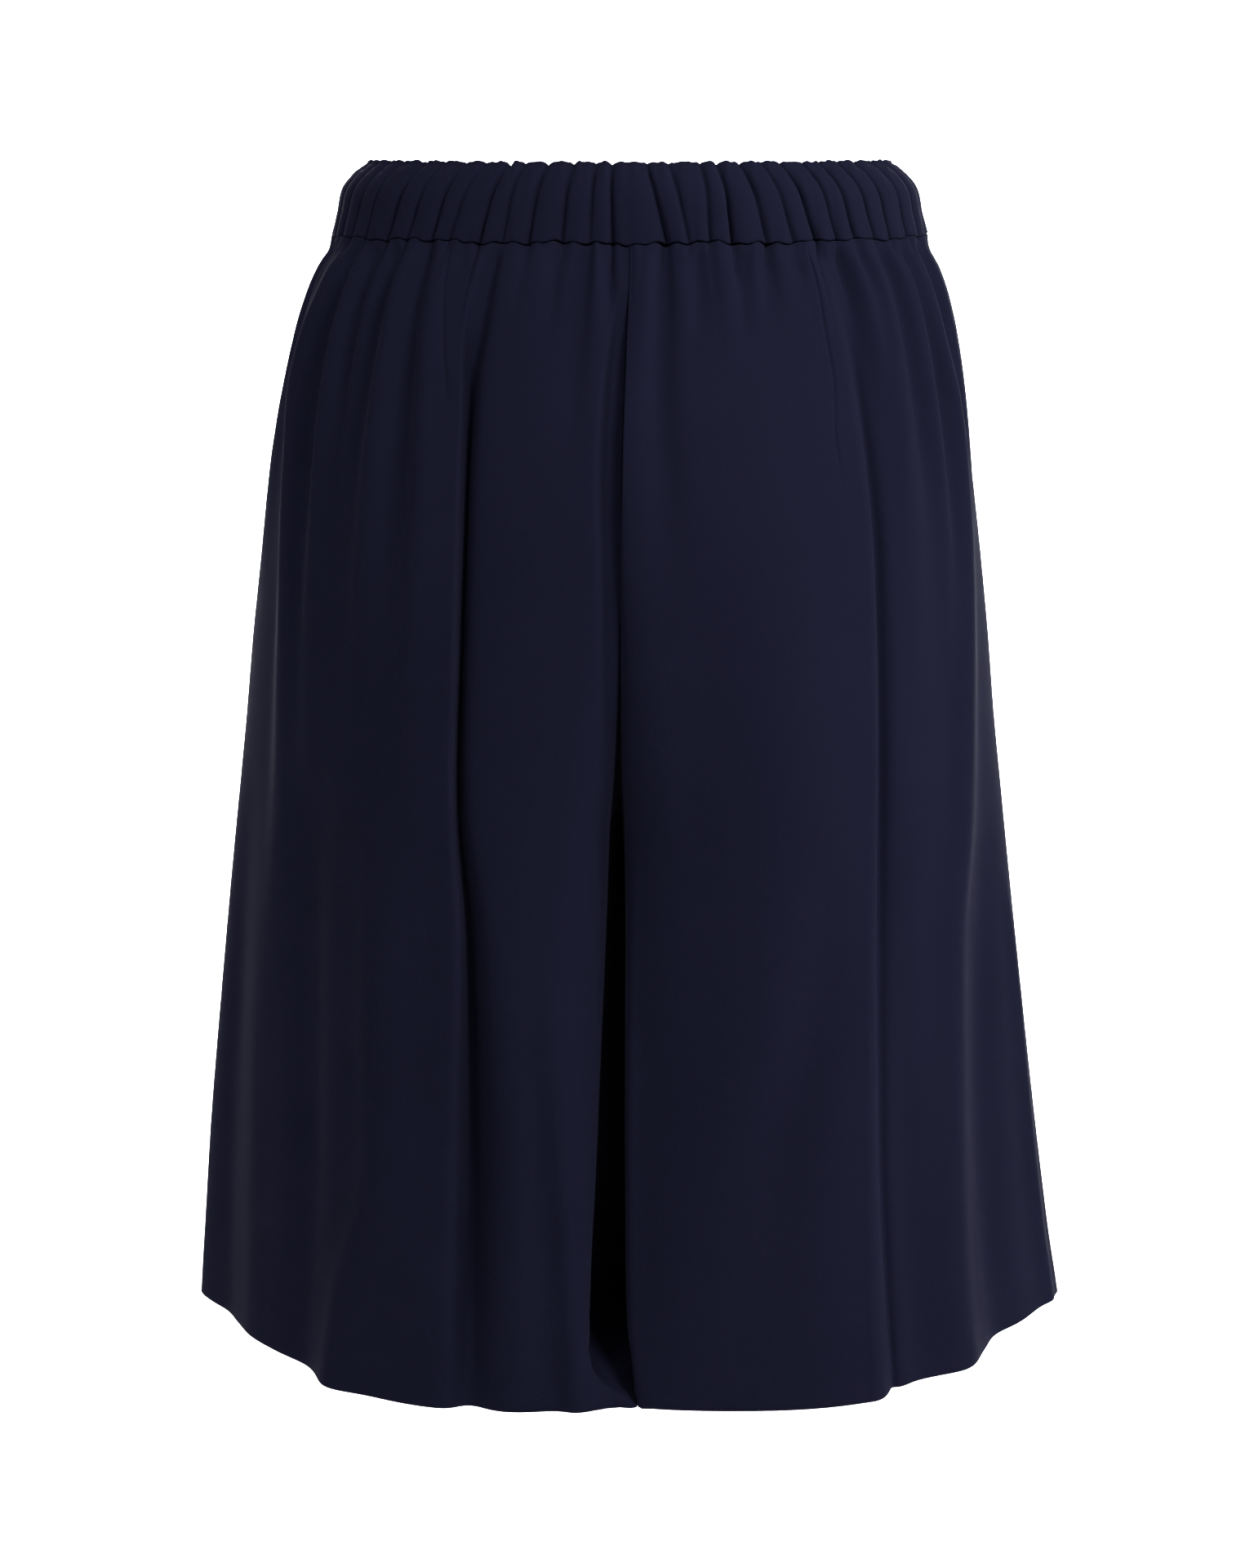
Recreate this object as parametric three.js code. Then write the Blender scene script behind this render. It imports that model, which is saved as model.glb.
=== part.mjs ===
// Wide bermuda shorts with a gathered elastic waistband, filled out as if worn.
// Millimetres, +Z up. The origin is the middle of the waistband, the wearer's back faces -Y
// and the wearer's right is at +X.
import * as THREE from 'three';

// Driving dimensions
const BAND_HEIGHT = 35;
const HEM_DROP = 537;
const CROTCH_DROP = 278;
const SEAT_TOP_DROP = 50;
const SEAT_ROUNDNESS = 2.8;
const CLOTH_WALL = 1.5;
const BAND_WALL = 2.4;
const SEAM_GAP = 0.3;
const INSEAM_CLEARANCE = 1.0;
const BAND_TOP_SIDE_DIP = 3;
const FRONT_WAIST_DROP = 6.5;

// Lengths over which folds die out near a side seam and the centre seam, and creases near a
// side seam of the band
const SIDE_FADE = 16;
const CENTRE_FADE = 12;
const CREASE_FADE = 6;

// Share of its fade that a fold has at its top, and widths over which an edge dies out beside it
const FOLD_START = 0.35;
const EDGE_REACH = 7;

// Height below the crotch over which the two inseams part
const INSEAM_PARTING = 30;

// Height down to which the lower front waist still draws the front panels down
const WAIST_DROP_END = -200;

// Shares of the way from the inseam to the turn: the gap between the legs is shut before the
// first and fully open after the second
const CLEFT_SHUT = 0.3;
const CLEFT_OPEN = 0.8;

// Close above the hem the gap shuts nearer to the turn: how far down that begins and
// ends, and the share of the way at which it is then shut
const HEM_CLEFT_TOP = 500;
const HEM_CLEFT_END = 526;
const HEM_CLEFT_SHUT = 0.84;

const BAND_BOTTOM = -BAND_HEIGHT / 2;
const PANEL_TOP = BAND_BOTTOM - SEAM_GAP;

// Cross-sections of the body of the shorts from the waist seam to the hem
// half, back, front: reach to the side, to the back and to the front
// flat and pinch: how much a section is flattened behind and pointed at the side seam
// sway: sideways shift; corner and deep: width and depth of the turn into the leg's inner face
// open: half the gap between the legs behind
// splitBack, splitMiddle, splitFront: sideways shift of that gap behind, at the inseam, in front
const SECTION_COLUMNS = ['z', 'half', 'back', 'front', 'flat', 'pinch', 'sway', 'corner', 'deep',
  'open', 'splitBack', 'splitMiddle', 'splitFront'];
const SECTIONS = [
  [-17.8, 138.8, 100, 98, 0.00, 0.00, 0.0, 16, 12, 0.0, 0, 0, 0],
  [-25, 139.8, 103, 99.5, 0.00, 0.00, -0.2, 16, 12, 0.0, 0, 0, 0],
  [-33, 143.8, 107, 102, 0.00, 0.02, -0.4, 16, 12, 0.0, 0, 0, 0],
  [-44, 147.8, 112, 105, 0.01, 0.04, -0.7, 16, 12, 0.0, 0, 0, 0],
  [-65, 153.5, 121, 110, 0.02, 0.08, -1.6, 16, 12, 0.0, 0, 0, 0],
  [-100, 160.5, 134, 116, 0.04, 0.15, -2.9, 16, 12, 0.0, 0, 0, 0],
  [-145, 167.5, 144, 121, 0.06, 0.25, -3.7, 18, 14, 0.0, 0, 0, 0],
  [-200, 174.5, 149, 124, 0.09, 0.36, -4.2, 21, 19, 0.3, 0, 0, 0],
  [-245, 179.0, 150.5, 126, 0.11, 0.43, -4.4, 25, 26, 1.5, -0.6, 0, 0],
  [-278, 182.8, 151, 127, 0.12, 0.50, -4.4, 28, 30, 3.2, -1.2, 0, 0.5],
  [-320, 187.7, 152, 128.5, 0.13, 0.55, -4.4, 28, 26, 4.3, -1.8, 3.5, 2],
  [-380, 194.6, 153.5, 131, 0.15, 0.62, -4.0, 26, 21, 5.5, -3.6, 5, 4],
  [-445, 202.0, 155, 134, 0.16, 0.70, -3.2, 24, 17, 7.0, -5.8, 5, 4],
  [-500, 208.0, 157, 136, 0.16, 0.74, -1.6, 22, 13, 9.5, -9.0, 5, 4],
  [-515, 209.8, 157.4, 136.8, 0.16, 0.74, -1.0, 20, 10, 10.8, -9.0, 5, 4],
  [-527, 211.3, 157.7, 137.5, 0.16, 0.75, -0.4, 18, 7, 6.4, -4.0, 5, 4],
  [-534, 212.1, 157.9, 137.8, 0.16, 0.75, -0.1, 16, 5, 0.8, 3.0, 4, 4],
  [-HEM_DROP, 212.5, 158, 138, 0.16, 0.75, 0.0, 16, 4, 0.1, 3.4, 4, 4],
];
const CORNER_SQUARENESS = 2.3;
const FRONT_PINCH = 0.6;
const FRONT_OPEN = 0.6;

// Cross-sections of the waistband from its gathered top edge to the waist seam
const BAND_COLUMNS = ['z', 'half', 'back', 'front'];
const BAND_SECTIONS = [
  [BAND_HEIGHT / 2, 116, 86, 85],
  [12, 124, 92, 91],
  [4, 131.5, 96, 95],
  [-8, 136, 98.5, 97.5],
  [BAND_BOTTOM, 138.8, 100, 98],
];

// Heights of a panel's rows along its side seam and along its centre seam or inseam
const ROW_COLUMNS = ['side', 'centre'];
const ROWS = [
  [PANEL_TOP, PANEL_TOP], [-25, -25], [-35, -35], [-48, -48], [-66, -66], [-90, -90],
  [-118, -120], [-148, -152], [-176, -182], [-202, -210], [-226, -234], [-246, -253],
  [-262, -267], [-276, -275.5], [-292, -CROTCH_DROP], [-322, -312], [-356, -350],
  [-392, -388], [-428, -426], [-462, -461], [-490, -490], [-508, -508], [-520, -520],
  [-531, -531], [-HEM_DROP, -HEM_DROP],
];

// Creases of the elastic casing: share of the half girth from the centre at the top and the
// bottom of the band, and depth. Minus is the wearer's left.
const CREASE_COLUMNS = ['top', 'bottom', 'depth'];
const CREASES = [
  [-0.955, -0.960, 1.2], [-0.885, -0.900, 1.6], [-0.818, -0.838, 1.4], [-0.750, -0.778, 1.7],
  [-0.689, -0.714, 1.3], [-0.595, -0.631, 1.9], [-0.530, -0.564, 1.5], [-0.460, -0.492, 1.8],
  [-0.400, -0.444, 1.2], [-0.330, -0.364, 1.9], [-0.285, -0.305, 1.3], [-0.222, -0.240, 1.8],
  [-0.150, -0.160, 1.6], [-0.090, -0.094, 1.2], [-0.048, -0.040, 2.1], [0.045, 0.090, 2.1],
  [0.105, 0.140, 1.2], [0.190, 0.190, 1.5], [0.235, 0.245, 2.1], [0.300, 0.330, 1.6],
  [0.361, 0.400, 1.2], [0.420, 0.460, 2.1], [0.490, 0.520, 1.4], [0.546, 0.575, 1.7],
  [0.612, 0.640, 1.5], [0.684, 0.700, 1.8], [0.770, 0.780, 1.4], [0.850, 0.850, 1.7],
  [0.930, 0.930, 1.3],
];

// Folds of the panels. A ridge stands out by its height, or is a trough where that is minus.
// An edge is a step that stands out towards the side seam, or towards the centre where minus.
// top, bottom: heights where it starts and dies; fadeTop, fadeBottom: lengths over which it does
// at, mid, to: share of the half girth from the centre at its top, middle and bottom
const FOLD_COLUMNS = ['kind', 'top', 'bottom', 'fadeTop', 'fadeBottom', 'at', 'mid', 'to', 'width',
  'height'];
const BACK_LEFT_FOLDS = [
  ['ridge', -18, -300, 12, 150, 0.78, 0.81, 0.74, 9, 3.0],
  ['ridge', -18, -230, 12, 110, 0.69, 0.67, 0.64, 8, 2.6],
  ['ridge', -18, -190, 12, 90, 0.55, 0.51, 0.50, 8, 2.8],
  ['ridge', -18, -260, 12, 120, 0.46, 0.385, 0.37, 9, 3.2],
  ['edge', -34, -HEM_DROP, 60, 90, 0.35, 0.287, 0.265, 5, 5.5],
  ['ridge', -24, -70, 6, 30, 0.32, 0.31, 0.30, 5, -2.0],
  ['ridge', -18, -90, 6, 40, 0.10, 0.10, 0.11, 6, -2.0],
  ['ridge', -18, -50, 4, 20, 0.055, 0.04, 0.03, 4, -1.5],
  ['ridge', -250, -560, 120, 60, 0.43, 0.41, 0.47, 16, 4.0],
  ['ridge', -250, -520, 100, 50, 0.72, 0.70, 0.66, 24, -4.5],
  ['ridge', -330, -560, 90, 40, 0.14, 0.12, 0.12, 14, 3.0],
];
const BACK_RIGHT_FOLDS = [
  ['ridge', -18, -560, 12, 200, 0.79, 0.76, 0.60, 11, 4.0],
  ['ridge', -18, -200, 12, 90, 0.687, 0.705, 0.73, 8, 2.6],
  ['ridge', -18, -210, 12, 100, 0.602, 0.60, 0.60, 8, 2.6],
  ['edge', -20, -560, 90, 40, 0.45, 0.49, 0.42, 5, -6.0],
  ['ridge', -18, -135, 8, 60, 0.082, 0.075, 0.08, 6, -2.2],
  ['ridge', -18, -45, 4, 20, 0.163, 0.155, 0.15, 4, -1.5],
  ['ridge', -22, -48, 6, 20, 0.26, 0.25, 0.24, 4, -1.5],
  ['ridge', -20, -48, 6, 20, 0.325, 0.31, 0.30, 4, -1.5],
  ['ridge', -290, -470, 70, 70, 0.37, 0.31, 0.24, 18, -3.0],
  ['ridge', -330, -560, 80, 40, 0.90, 0.93, 0.94, 9, 2.5],
];
const FRONT_LEFT_FOLDS = [
  ['ridge', -18, -260, 12, 120, 0.77, 0.79, 0.74, 9, 3.0],
  ['ridge', -18, -200, 12, 90, 0.64, 0.63, 0.62, 8, 2.6],
  ['ridge', -18, -170, 12, 80, 0.49, 0.47, 0.46, 8, 2.4],
  ['ridge', -18, -120, 8, 60, 0.33, 0.32, 0.31, 7, -2.0],
  ['ridge', -18, -90, 8, 40, 0.18, 0.17, 0.17, 6, -1.8],
  ['ridge', -60, -560, 160, 40, 0.44, 0.42, 0.40, 18, 6.0],
  ['ridge', -220, -560, 140, 60, 0.72, 0.70, 0.68, 22, -4.0],
];
const FRONT_RIGHT_FOLDS = [
  ['ridge', -18, -290, 12, 140, 0.75, 0.78, 0.75, 9, 3.0],
  ['ridge', -18, -180, 12, 90, 0.66, 0.66, 0.65, 8, 2.4],
  ['ridge', -18, -190, 12, 80, 0.52, 0.50, 0.48, 8, 2.6],
  ['ridge', -18, -110, 8, 60, 0.35, 0.34, 0.33, 7, -2.0],
  ['ridge', -18, -80, 8, 40, 0.15, 0.15, 0.14, 6, -1.8],
  ['ridge', -80, -560, 160, 40, 0.41, 0.43, 0.45, 18, 6.0],
  ['ridge', -240, -560, 140, 60, 0.70, 0.73, 0.71, 22, -4.0],
];

// Pieces: which leg and which face, the folds and the number of columns across the outer part
const PANELS = [
  { name: 'back_left', leg: -1, face: -1, folds: BACK_LEFT_FOLDS, columns: 26 },
  { name: 'back_right', leg: 1, face: -1, folds: BACK_RIGHT_FOLDS, columns: 26 },
  { name: 'front_left', leg: -1, face: 1, folds: FRONT_LEFT_FOLDS, columns: 20 },
  { name: 'front_right', leg: 1, face: 1, folds: FRONT_RIGHT_FOLDS, columns: 20 },
];
const INNER_COLUMNS = 10;
const INNER_SPREAD = 0.7;
const TURN_LENGTH = 0.8;
const QUARTER_TURN = Math.PI / 2;
const BAND_ROWS = [BAND_HEIGHT / 2, 13, 5, -6, BAND_BOTTOM];
const COLUMNS_BETWEEN_CREASES = 3;

const NAVY = new THREE.MeshStandardMaterial({ color: 0x1a1a29, roughness: 0.85, metalness: 0 });
const NAVY_BAND = new THREE.MeshStandardMaterial({ color: 0x1c1c2b, roughness: 0.88, metalness: 0 });

// Rows of a table as objects with the names of its columns
function named(columns, rows) {
  return rows.map((row) => Object.fromEntries(columns.map((name, i) => [name, row[i]])));
}

const sections = named(SECTION_COLUMNS, SECTIONS);
const bandSections = named(BAND_COLUMNS, BAND_SECTIONS);
const rows = named(ROW_COLUMNS, ROWS);
const creases = named(CREASE_COLUMNS, CREASES);

function smooth(from, to, value) {
  return THREE.MathUtils.smoothstep(value, from, to);
}

// One column of a section table at a height, on a smooth curve through its rows
function column(table, name, z) {
  const last = table.length - 1;
  if (z >= table[0].z) return table[0][name];
  if (z <= table[last].z) return table[last][name];
  const i = table.findIndex((row, k) => k < last && z >= table[k + 1].z);
  const slope = (k) => {
    const above = table[Math.max(k - 1, 0)];
    const below = table[Math.min(k + 1, last)];
    return (below[name] - above[name]) / (below.z - above.z);
  };
  const height = table[i + 1].z - table[i].z;
  const t = (z - table[i].z) / height;
  const start = (2 * t ** 3 - 3 * t ** 2 + 1) * table[i][name];
  const end = (3 * t ** 2 - 2 * t ** 3) * table[i + 1][name];
  const leave = (t ** 3 - 2 * t ** 2 + t) * slope(i) * height;
  const arrive = (t ** 3 - t ** 2) * slope(i + 1) * height;
  return start + end + leave + arrive;
}

// Half of an oval section, from the centre (turn 0) to the side seam (turn 90 degrees)
function oval(shape, face, turn) {
  const across = Math.sin(turn);
  const bend = 1 + shape.flat * Math.sin(2 * turn) ** 2 - shape.pinch * across ** 4;
  return new THREE.Vector2(shape.half * across, face * shape.depth * Math.cos(turn) * bend);
}

// Lengths along the half oval, so that a share of its girth gives its turn and the reverse
const MEASURE_STEPS = 180;
const measured = new Map();
function measure(key, shape, face) {
  if (measured.has(key)) return measured.get(key);
  const lengths = [0];
  let before = oval(shape, face, 0);
  for (let i = 1; i <= MEASURE_STEPS; i += 1) {
    const here = oval(shape, face, QUARTER_TURN * (i / MEASURE_STEPS));
    lengths.push(lengths[i - 1] + here.distanceTo(before));
    before = here;
  }
  measured.set(key, lengths);
  return lengths;
}

function turnAt(lengths, share) {
  const wanted = share * lengths[MEASURE_STEPS];
  const i = Math.min(lengths.findIndex((length, k) => lengths[k + 1] >= wanted), MEASURE_STEPS - 1);
  const part = (wanted - lengths[i]) / (lengths[i + 1] - lengths[i]);
  return QUARTER_TURN * ((i + part) / MEASURE_STEPS);
}

function shareAt(lengths, turn) {
  const step = (turn / QUARTER_TURN) * MEASURE_STEPS;
  const i = Math.min(Math.floor(step), MEASURE_STEPS - 1);
  const length = lengths[i] + (lengths[i + 1] - lengths[i]) * (step - i);
  return length / lengths[MEASURE_STEPS];
}

function shapeAt(z, face) {
  const back = face < 0;
  return {
    half: column(sections, 'half', z),
    depth: column(sections, back ? 'back' : 'front', z),
    flat: column(sections, 'flat', z),
    pinch: column(sections, 'pinch', z) * (back ? 1 : FRONT_PINCH),
    corner: column(sections, 'corner', z),
    deep: column(sections, 'deep', z),
    sway: column(sections, 'sway', z),
    open: column(sections, 'open', z) * (back ? 1 : FRONT_OPEN),
    split: column(sections, back ? 'splitBack' : 'splitFront', z),
    splitMiddle: column(sections, 'splitMiddle', z),
  };
}

// The centre seam runs down the seat, curves under to the crotch and comes up in front
function seamDepth(z, depth) {
  if (z <= -CROTCH_DROP) return 0;
  const fall = Math.max(0, (-SEAT_TOP_DROP - z) / (CROTCH_DROP - SEAT_TOP_DROP));
  return depth * (1 - fall ** SEAT_ROUNDNESS) ** (1 / SEAT_ROUNDNESS);
}

// The waist sits a little lower in front than behind
function waistDrop(face, turn) {
  return face > 0 ? FRONT_WAIST_DROP * Math.cos(turn) : 0;
}

// How far a panel's folds move its cloth out, at a share of the half girth and a height
function foldHeight(folds, share, girth, z) {
  let out = 0;
  for (const fold of folds) {
    const come = smooth(0, fold.fadeTop, fold.top - z + fold.fadeTop * FOLD_START);
    const go = smooth(0, fold.fadeBottom, z - fold.bottom);
    const t = THREE.MathUtils.clamp((fold.top - z) / (fold.top - fold.bottom), 0, 1);
    const place = fold.at * (1 - t) * (1 - 2 * t)
      + fold.mid * 4 * t * (1 - t)
      + fold.to * t * (2 * t - 1);
    const off = (share - place) * girth;
    const profile = fold.kind === 'edge'
      ? Math.tanh(off / fold.width) * Math.exp(-Math.abs(off) / (EDGE_REACH * fold.width))
      : Math.exp(-((off / fold.width) ** 2));
    out += fold.height * profile * come * go;
  }
  return out;
}

// The turn from a panel's oval into the cleft of the seat or the leg's inner face: how far in
// from the side of the leg, how deep inside the oval and how far opened the gap between the
// legs is, at a part of the way from the seam
function innerTurn(inner, cleft, corner, deep, z) {
  const turnDepth = deep * (1 - Math.exp(-cleft / deep));
  const straight = cleft - turnDepth;
  const start = straight / (straight + TURN_LENGTH * (corner + turnDepth));
  const way = inner ** INNER_SPREAD;
  if (way < start) {
    const part = way / start;
    const low = smooth(HEM_CLEFT_TOP, HEM_CLEFT_END, -z);
    const shut = CLEFT_SHUT + (HEM_CLEFT_SHUT - CLEFT_SHUT) * low;
    const open = CLEFT_OPEN + (1 - CLEFT_OPEN) * low;
    return { across: 0, inside: cleft - straight * part, opened: smooth(shut, open, part) };
  }
  const turn = QUARTER_TURN * ((way - start) / (1 - start));
  const power = 2 / CORNER_SQUARENESS;
  return {
    across: 1 - Math.max(0, Math.cos(turn)) ** power,
    inside: turnDepth * (1 - Math.sin(turn) ** power),
    opened: 1,
  };
}

// A point of a panel's outer side. Inner runs from 0 at the centre seam or inseam to 1 where the
// turn into the leg's inner face ends, and outer from there to 1 at the side seam.
function panelPoint(panel, folds, z, inner, outer) {
  const { leg, face } = panel;
  const shape = shapeAt(z, face);
  const lengths = measure(`${face} ${z}`, shape, face);
  const girth = lengths[MEASURE_STEPS];
  const below = z <= -CROTCH_DROP;
  const legSide = smooth(0, INSEAM_PARTING, -CROTCH_DROP - z);
  const startDepth = below ? SEAM_GAP / 2 : seamDepth(z, shape.depth);
  const cleft = shape.depth - startDepth;
  const { across, inside, opened } = innerTurn(inner, cleft, shape.corner, shape.deep, z);
  const startX = SEAM_GAP / 2 + INSEAM_CLEARANCE * legSide + leg * shape.splitMiddle * legSide;
  const behindX = SEAM_GAP / 2 + shape.open + leg * shape.split;
  const along = cleft > 0 ? 1 - inside / cleft : 1;
  const nearX = startX + (behindX - startX) * opened;
  const x = nearX + (shape.corner - nearX) * across;
  const cornerShare = shareAt(lengths, Math.asin(shape.corner / shape.half));
  const ovalTurn = outer > 0
    ? turnAt(lengths, cornerShare + (1 - cornerShare) * outer)
    : Math.asin(Math.max(0, x) / shape.half);
  const share = shareAt(lengths, ovalTurn);
  const place = oval(shape, face, ovalTurn);
  if (outer === 0) place.set(x, face * (startDepth + (Math.abs(place.y) - startDepth) * along));
  const away = smooth(0, SIDE_FADE, (1 - share) * girth);
  const near = smooth(0, CENTRE_FADE, share * girth) * (1 - smooth(0, shape.deep, inside));
  const facing = new THREE.Vector2(place.x / shape.half ** 2, place.y / shape.depth ** 2).normalize();
  place.addScaledVector(facing, foldHeight(folds, share, girth, z) * away * near);
  const fall = waistDrop(face, ovalTurn) * smooth(WAIST_DROP_END, PANEL_TOP, z);
  return new THREE.Vector3(leg * place.x + shape.sway, place.y, z - fall);
}

// A closed wall from a grid of outer points and the directions that face out of the cloth
function wallGeometry(grid, facing, thickness) {
  const high = grid.length;
  const wide = grid[0].length;
  const positions = [];
  for (let i = 0; i < high; i += 1) {
    for (let j = 0; j < wide; j += 1) positions.push(...grid[i][j].toArray());
  }
  for (let i = 0; i < high; i += 1) {
    for (let j = 0; j < wide; j += 1) {
      const inside = grid[i][j].clone().addScaledVector(facing[i][j], -thickness);
      positions.push(...inside.toArray());
    }
  }
  const front = (i, j) => i * wide + j;
  const behind = (i, j) => high * wide + i * wide + j;
  const faces = [];
  const quad = (a, b, c, d) => faces.push(a, b, c, a, c, d);
  for (let i = 0; i < high - 1; i += 1) {
    for (let j = 0; j < wide - 1; j += 1) {
      quad(front(i, j), front(i + 1, j), front(i + 1, j + 1), front(i, j + 1));
      quad(behind(i, j), behind(i, j + 1), behind(i + 1, j + 1), behind(i + 1, j));
    }
  }
  for (let j = 0; j < wide - 1; j += 1) {
    quad(front(0, j), front(0, j + 1), behind(0, j + 1), behind(0, j));
    quad(front(high - 1, j), behind(high - 1, j), behind(high - 1, j + 1), front(high - 1, j + 1));
  }
  for (let i = 0; i < high - 1; i += 1) {
    quad(front(i, 0), behind(i, 0), behind(i + 1, 0), front(i + 1, 0));
    quad(front(i, wide - 1), front(i + 1, wide - 1), behind(i + 1, wide - 1), behind(i, wide - 1));
  }
  const geometry = new THREE.BufferGeometry();
  geometry.setAttribute('position', new THREE.Float32BufferAttribute(positions, 3));
  geometry.setIndex(faces);
  geometry.computeVertexNormals();
  return geometry;
}

// Directions that face out of the cloth, from the neighbours of each point of the grid
function facingOut(grid, side) {
  const high = grid.length;
  const wide = grid[0].length;
  return grid.map((row, i) => row.map((point, j) => {
    const across = row[Math.min(j + 1, wide - 1)].clone().sub(row[Math.max(j - 1, 0)]);
    const down = grid[Math.min(i + 1, high - 1)][j].clone().sub(grid[Math.max(i - 1, 0)][j]);
    return down.cross(across).normalize().multiplyScalar(side);
  }));
}

// Level rims at the top and bottom, and seam rims that lean away from the piece beyond the seam
function settleRims(facing, leg) {
  const crotchRow = rows.findIndex((row) => row.centre === -CROTCH_DROP);
  facing.forEach((directions, i) => {
    const centre = directions[0];
    const seam = directions[directions.length - 1];
    if (leg * centre.x > 0) centre.x = 0;
    if (i >= crotchRow) centre.y = 0;
    seam.y = 0;
    centre.normalize();
    seam.normalize();
  });
  for (const directions of [facing[0], facing[facing.length - 1]]) {
    for (const direction of directions) direction.setZ(0).normalize();
  }
}

function panelGeometry(panel) {
  const folds = named(FOLD_COLUMNS, panel.folds);
  const wide = INNER_COLUMNS + panel.columns;
  const grid = rows.map((row) => {
    const points = [];
    for (let j = 0; j < wide; j += 1) {
      const z = row.centre + (row.side - row.centre) * smooth(0, 1, j / (wide - 1));
      const inner = Math.min(1, j / (INNER_COLUMNS - 1));
      const outer = Math.max(0, (j - INNER_COLUMNS + 1) / panel.columns);
      points.push(panelPoint(panel, folds, z, inner, outer));
    }
    points[wide - 1].y += panel.face * (SEAM_GAP / 2);
    return points;
  });
  const mirrored = panel.leg * panel.face > 0;
  const facing = facingOut(grid, mirrored ? -1 : 1);
  settleRims(facing, panel.leg);
  if (mirrored) [...grid, ...facing].forEach((line) => line.reverse());
  return wallGeometry(grid, facing, CLOTH_WALL);
}

// A point of the waistband: share runs from -1 at the left side seam to 1 at the right one
function bandPoint(face, share, z, dip) {
  const shape = {
    half: column(bandSections, 'half', z),
    depth: column(bandSections, face < 0 ? 'back' : 'front', z),
    flat: 0,
    pinch: 0,
  };
  const lengths = measure(`band ${face} ${z}`, shape, face);
  const turn = turnAt(lengths, Math.abs(share));
  const place = oval(shape, face, turn);
  const sideDip = z > 0 ? BAND_TOP_SIDE_DIP * share ** 4 * (z / (BAND_HEIGHT / 2)) : 0;
  const away = smooth(0, 1, Math.min(1, ((1 - Math.abs(share)) * lengths[MEASURE_STEPS]) / CREASE_FADE));
  const facing = new THREE.Vector2(place.x / shape.half ** 2, place.y / shape.depth ** 2).normalize();
  place.addScaledVector(facing, -dip * away);
  return new THREE.Vector3(Math.sign(share) * place.x, place.y, z - sideDip - waistDrop(face, turn));
}

// The columns of the band follow its creases, which lean towards the centre at the top
function bandGeometry(face) {
  const lines = creases.map((crease) => ({
    top: -face * crease.top,
    bottom: -face * crease.bottom,
    depth: crease.depth,
  })).sort((a, b) => a.top - b.top);
  const edges = [{ top: -1, bottom: -1, depth: 0 }, ...lines, { top: 1, bottom: 1, depth: 0 }];
  const grid = BAND_ROWS.map((z) => {
    const down = 0.5 - z / BAND_HEIGHT;
    const points = [];
    const at = (line) => line.top + (line.bottom - line.top) * down;
    edges.slice(0, -1).forEach((line, k) => {
      const next = edges[k + 1];
      for (let j = 0; j < COLUMNS_BETWEEN_CREASES; j += 1) {
        const part = j / COLUMNS_BETWEEN_CREASES;
        const share = at(line) + (at(next) - at(line)) * part;
        const dip = j === 0 ? line.depth : 0;
        points.push(bandPoint(face, share, z, dip));
      }
    });
    points.push(bandPoint(face, 1, z, 0));
    points[0].y = face * (SEAM_GAP / 2);
    points[points.length - 1].y = face * (SEAM_GAP / 2);
    return points;
  });
  if (face > 0) grid.forEach((points) => points.reverse());
  const facing = facingOut(grid, 1);
  for (const directions of facing) {
    for (const end of [directions[0], directions[directions.length - 1]]) end.setY(0).normalize();
  }
  for (const i of [0, facing.length - 1]) {
    for (const direction of facing[i]) direction.setZ(0).normalize();
  }
  return wallGeometry(grid, facing, BAND_WALL);
}

function namedMesh(name, geometry, material) {
  const mesh = new THREE.Mesh(geometry, material);
  mesh.name = name;
  return mesh;
}

const shorts = new THREE.Group();
shorts.name = 'bermuda_shorts';
shorts.add(namedMesh('waistband_back', bandGeometry(-1), NAVY_BAND));
shorts.add(namedMesh('waistband_front', bandGeometry(1), NAVY_BAND));
for (const panel of PANELS) shorts.add(namedMesh(panel.name, panelGeometry(panel), NAVY));

export default shorts;
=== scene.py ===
"""Wide navy bermuda shorts with a gathered elastic waistband, filled out as if worn and seen from
the back. Each cut piece is a thin shell of cloth on the form of its solid. The cloth is worked out
in millimetres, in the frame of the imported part, and the stage in metres."""

import math

import bpy
import numpy as np
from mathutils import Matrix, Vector


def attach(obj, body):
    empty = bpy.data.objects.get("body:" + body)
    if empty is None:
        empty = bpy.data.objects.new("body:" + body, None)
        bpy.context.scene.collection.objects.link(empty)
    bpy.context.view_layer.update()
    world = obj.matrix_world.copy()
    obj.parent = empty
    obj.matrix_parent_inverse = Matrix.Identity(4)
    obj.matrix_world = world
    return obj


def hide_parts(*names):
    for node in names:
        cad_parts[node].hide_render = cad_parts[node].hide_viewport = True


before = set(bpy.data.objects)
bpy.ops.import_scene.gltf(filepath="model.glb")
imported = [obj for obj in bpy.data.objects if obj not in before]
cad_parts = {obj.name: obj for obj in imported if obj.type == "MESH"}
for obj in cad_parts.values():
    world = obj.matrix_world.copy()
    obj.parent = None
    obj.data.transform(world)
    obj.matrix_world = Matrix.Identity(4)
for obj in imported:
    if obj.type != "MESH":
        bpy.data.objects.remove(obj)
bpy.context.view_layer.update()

MM = 0.001

# A leg is the sign of its x, a face of the shorts the sign of its y, with its column in the tables
LEFT, RIGHT = -1, 1
BACK, FRONT = -1, 1
DEPTH_COLUMN = {BACK: "back", FRONT: "front"}

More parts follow.
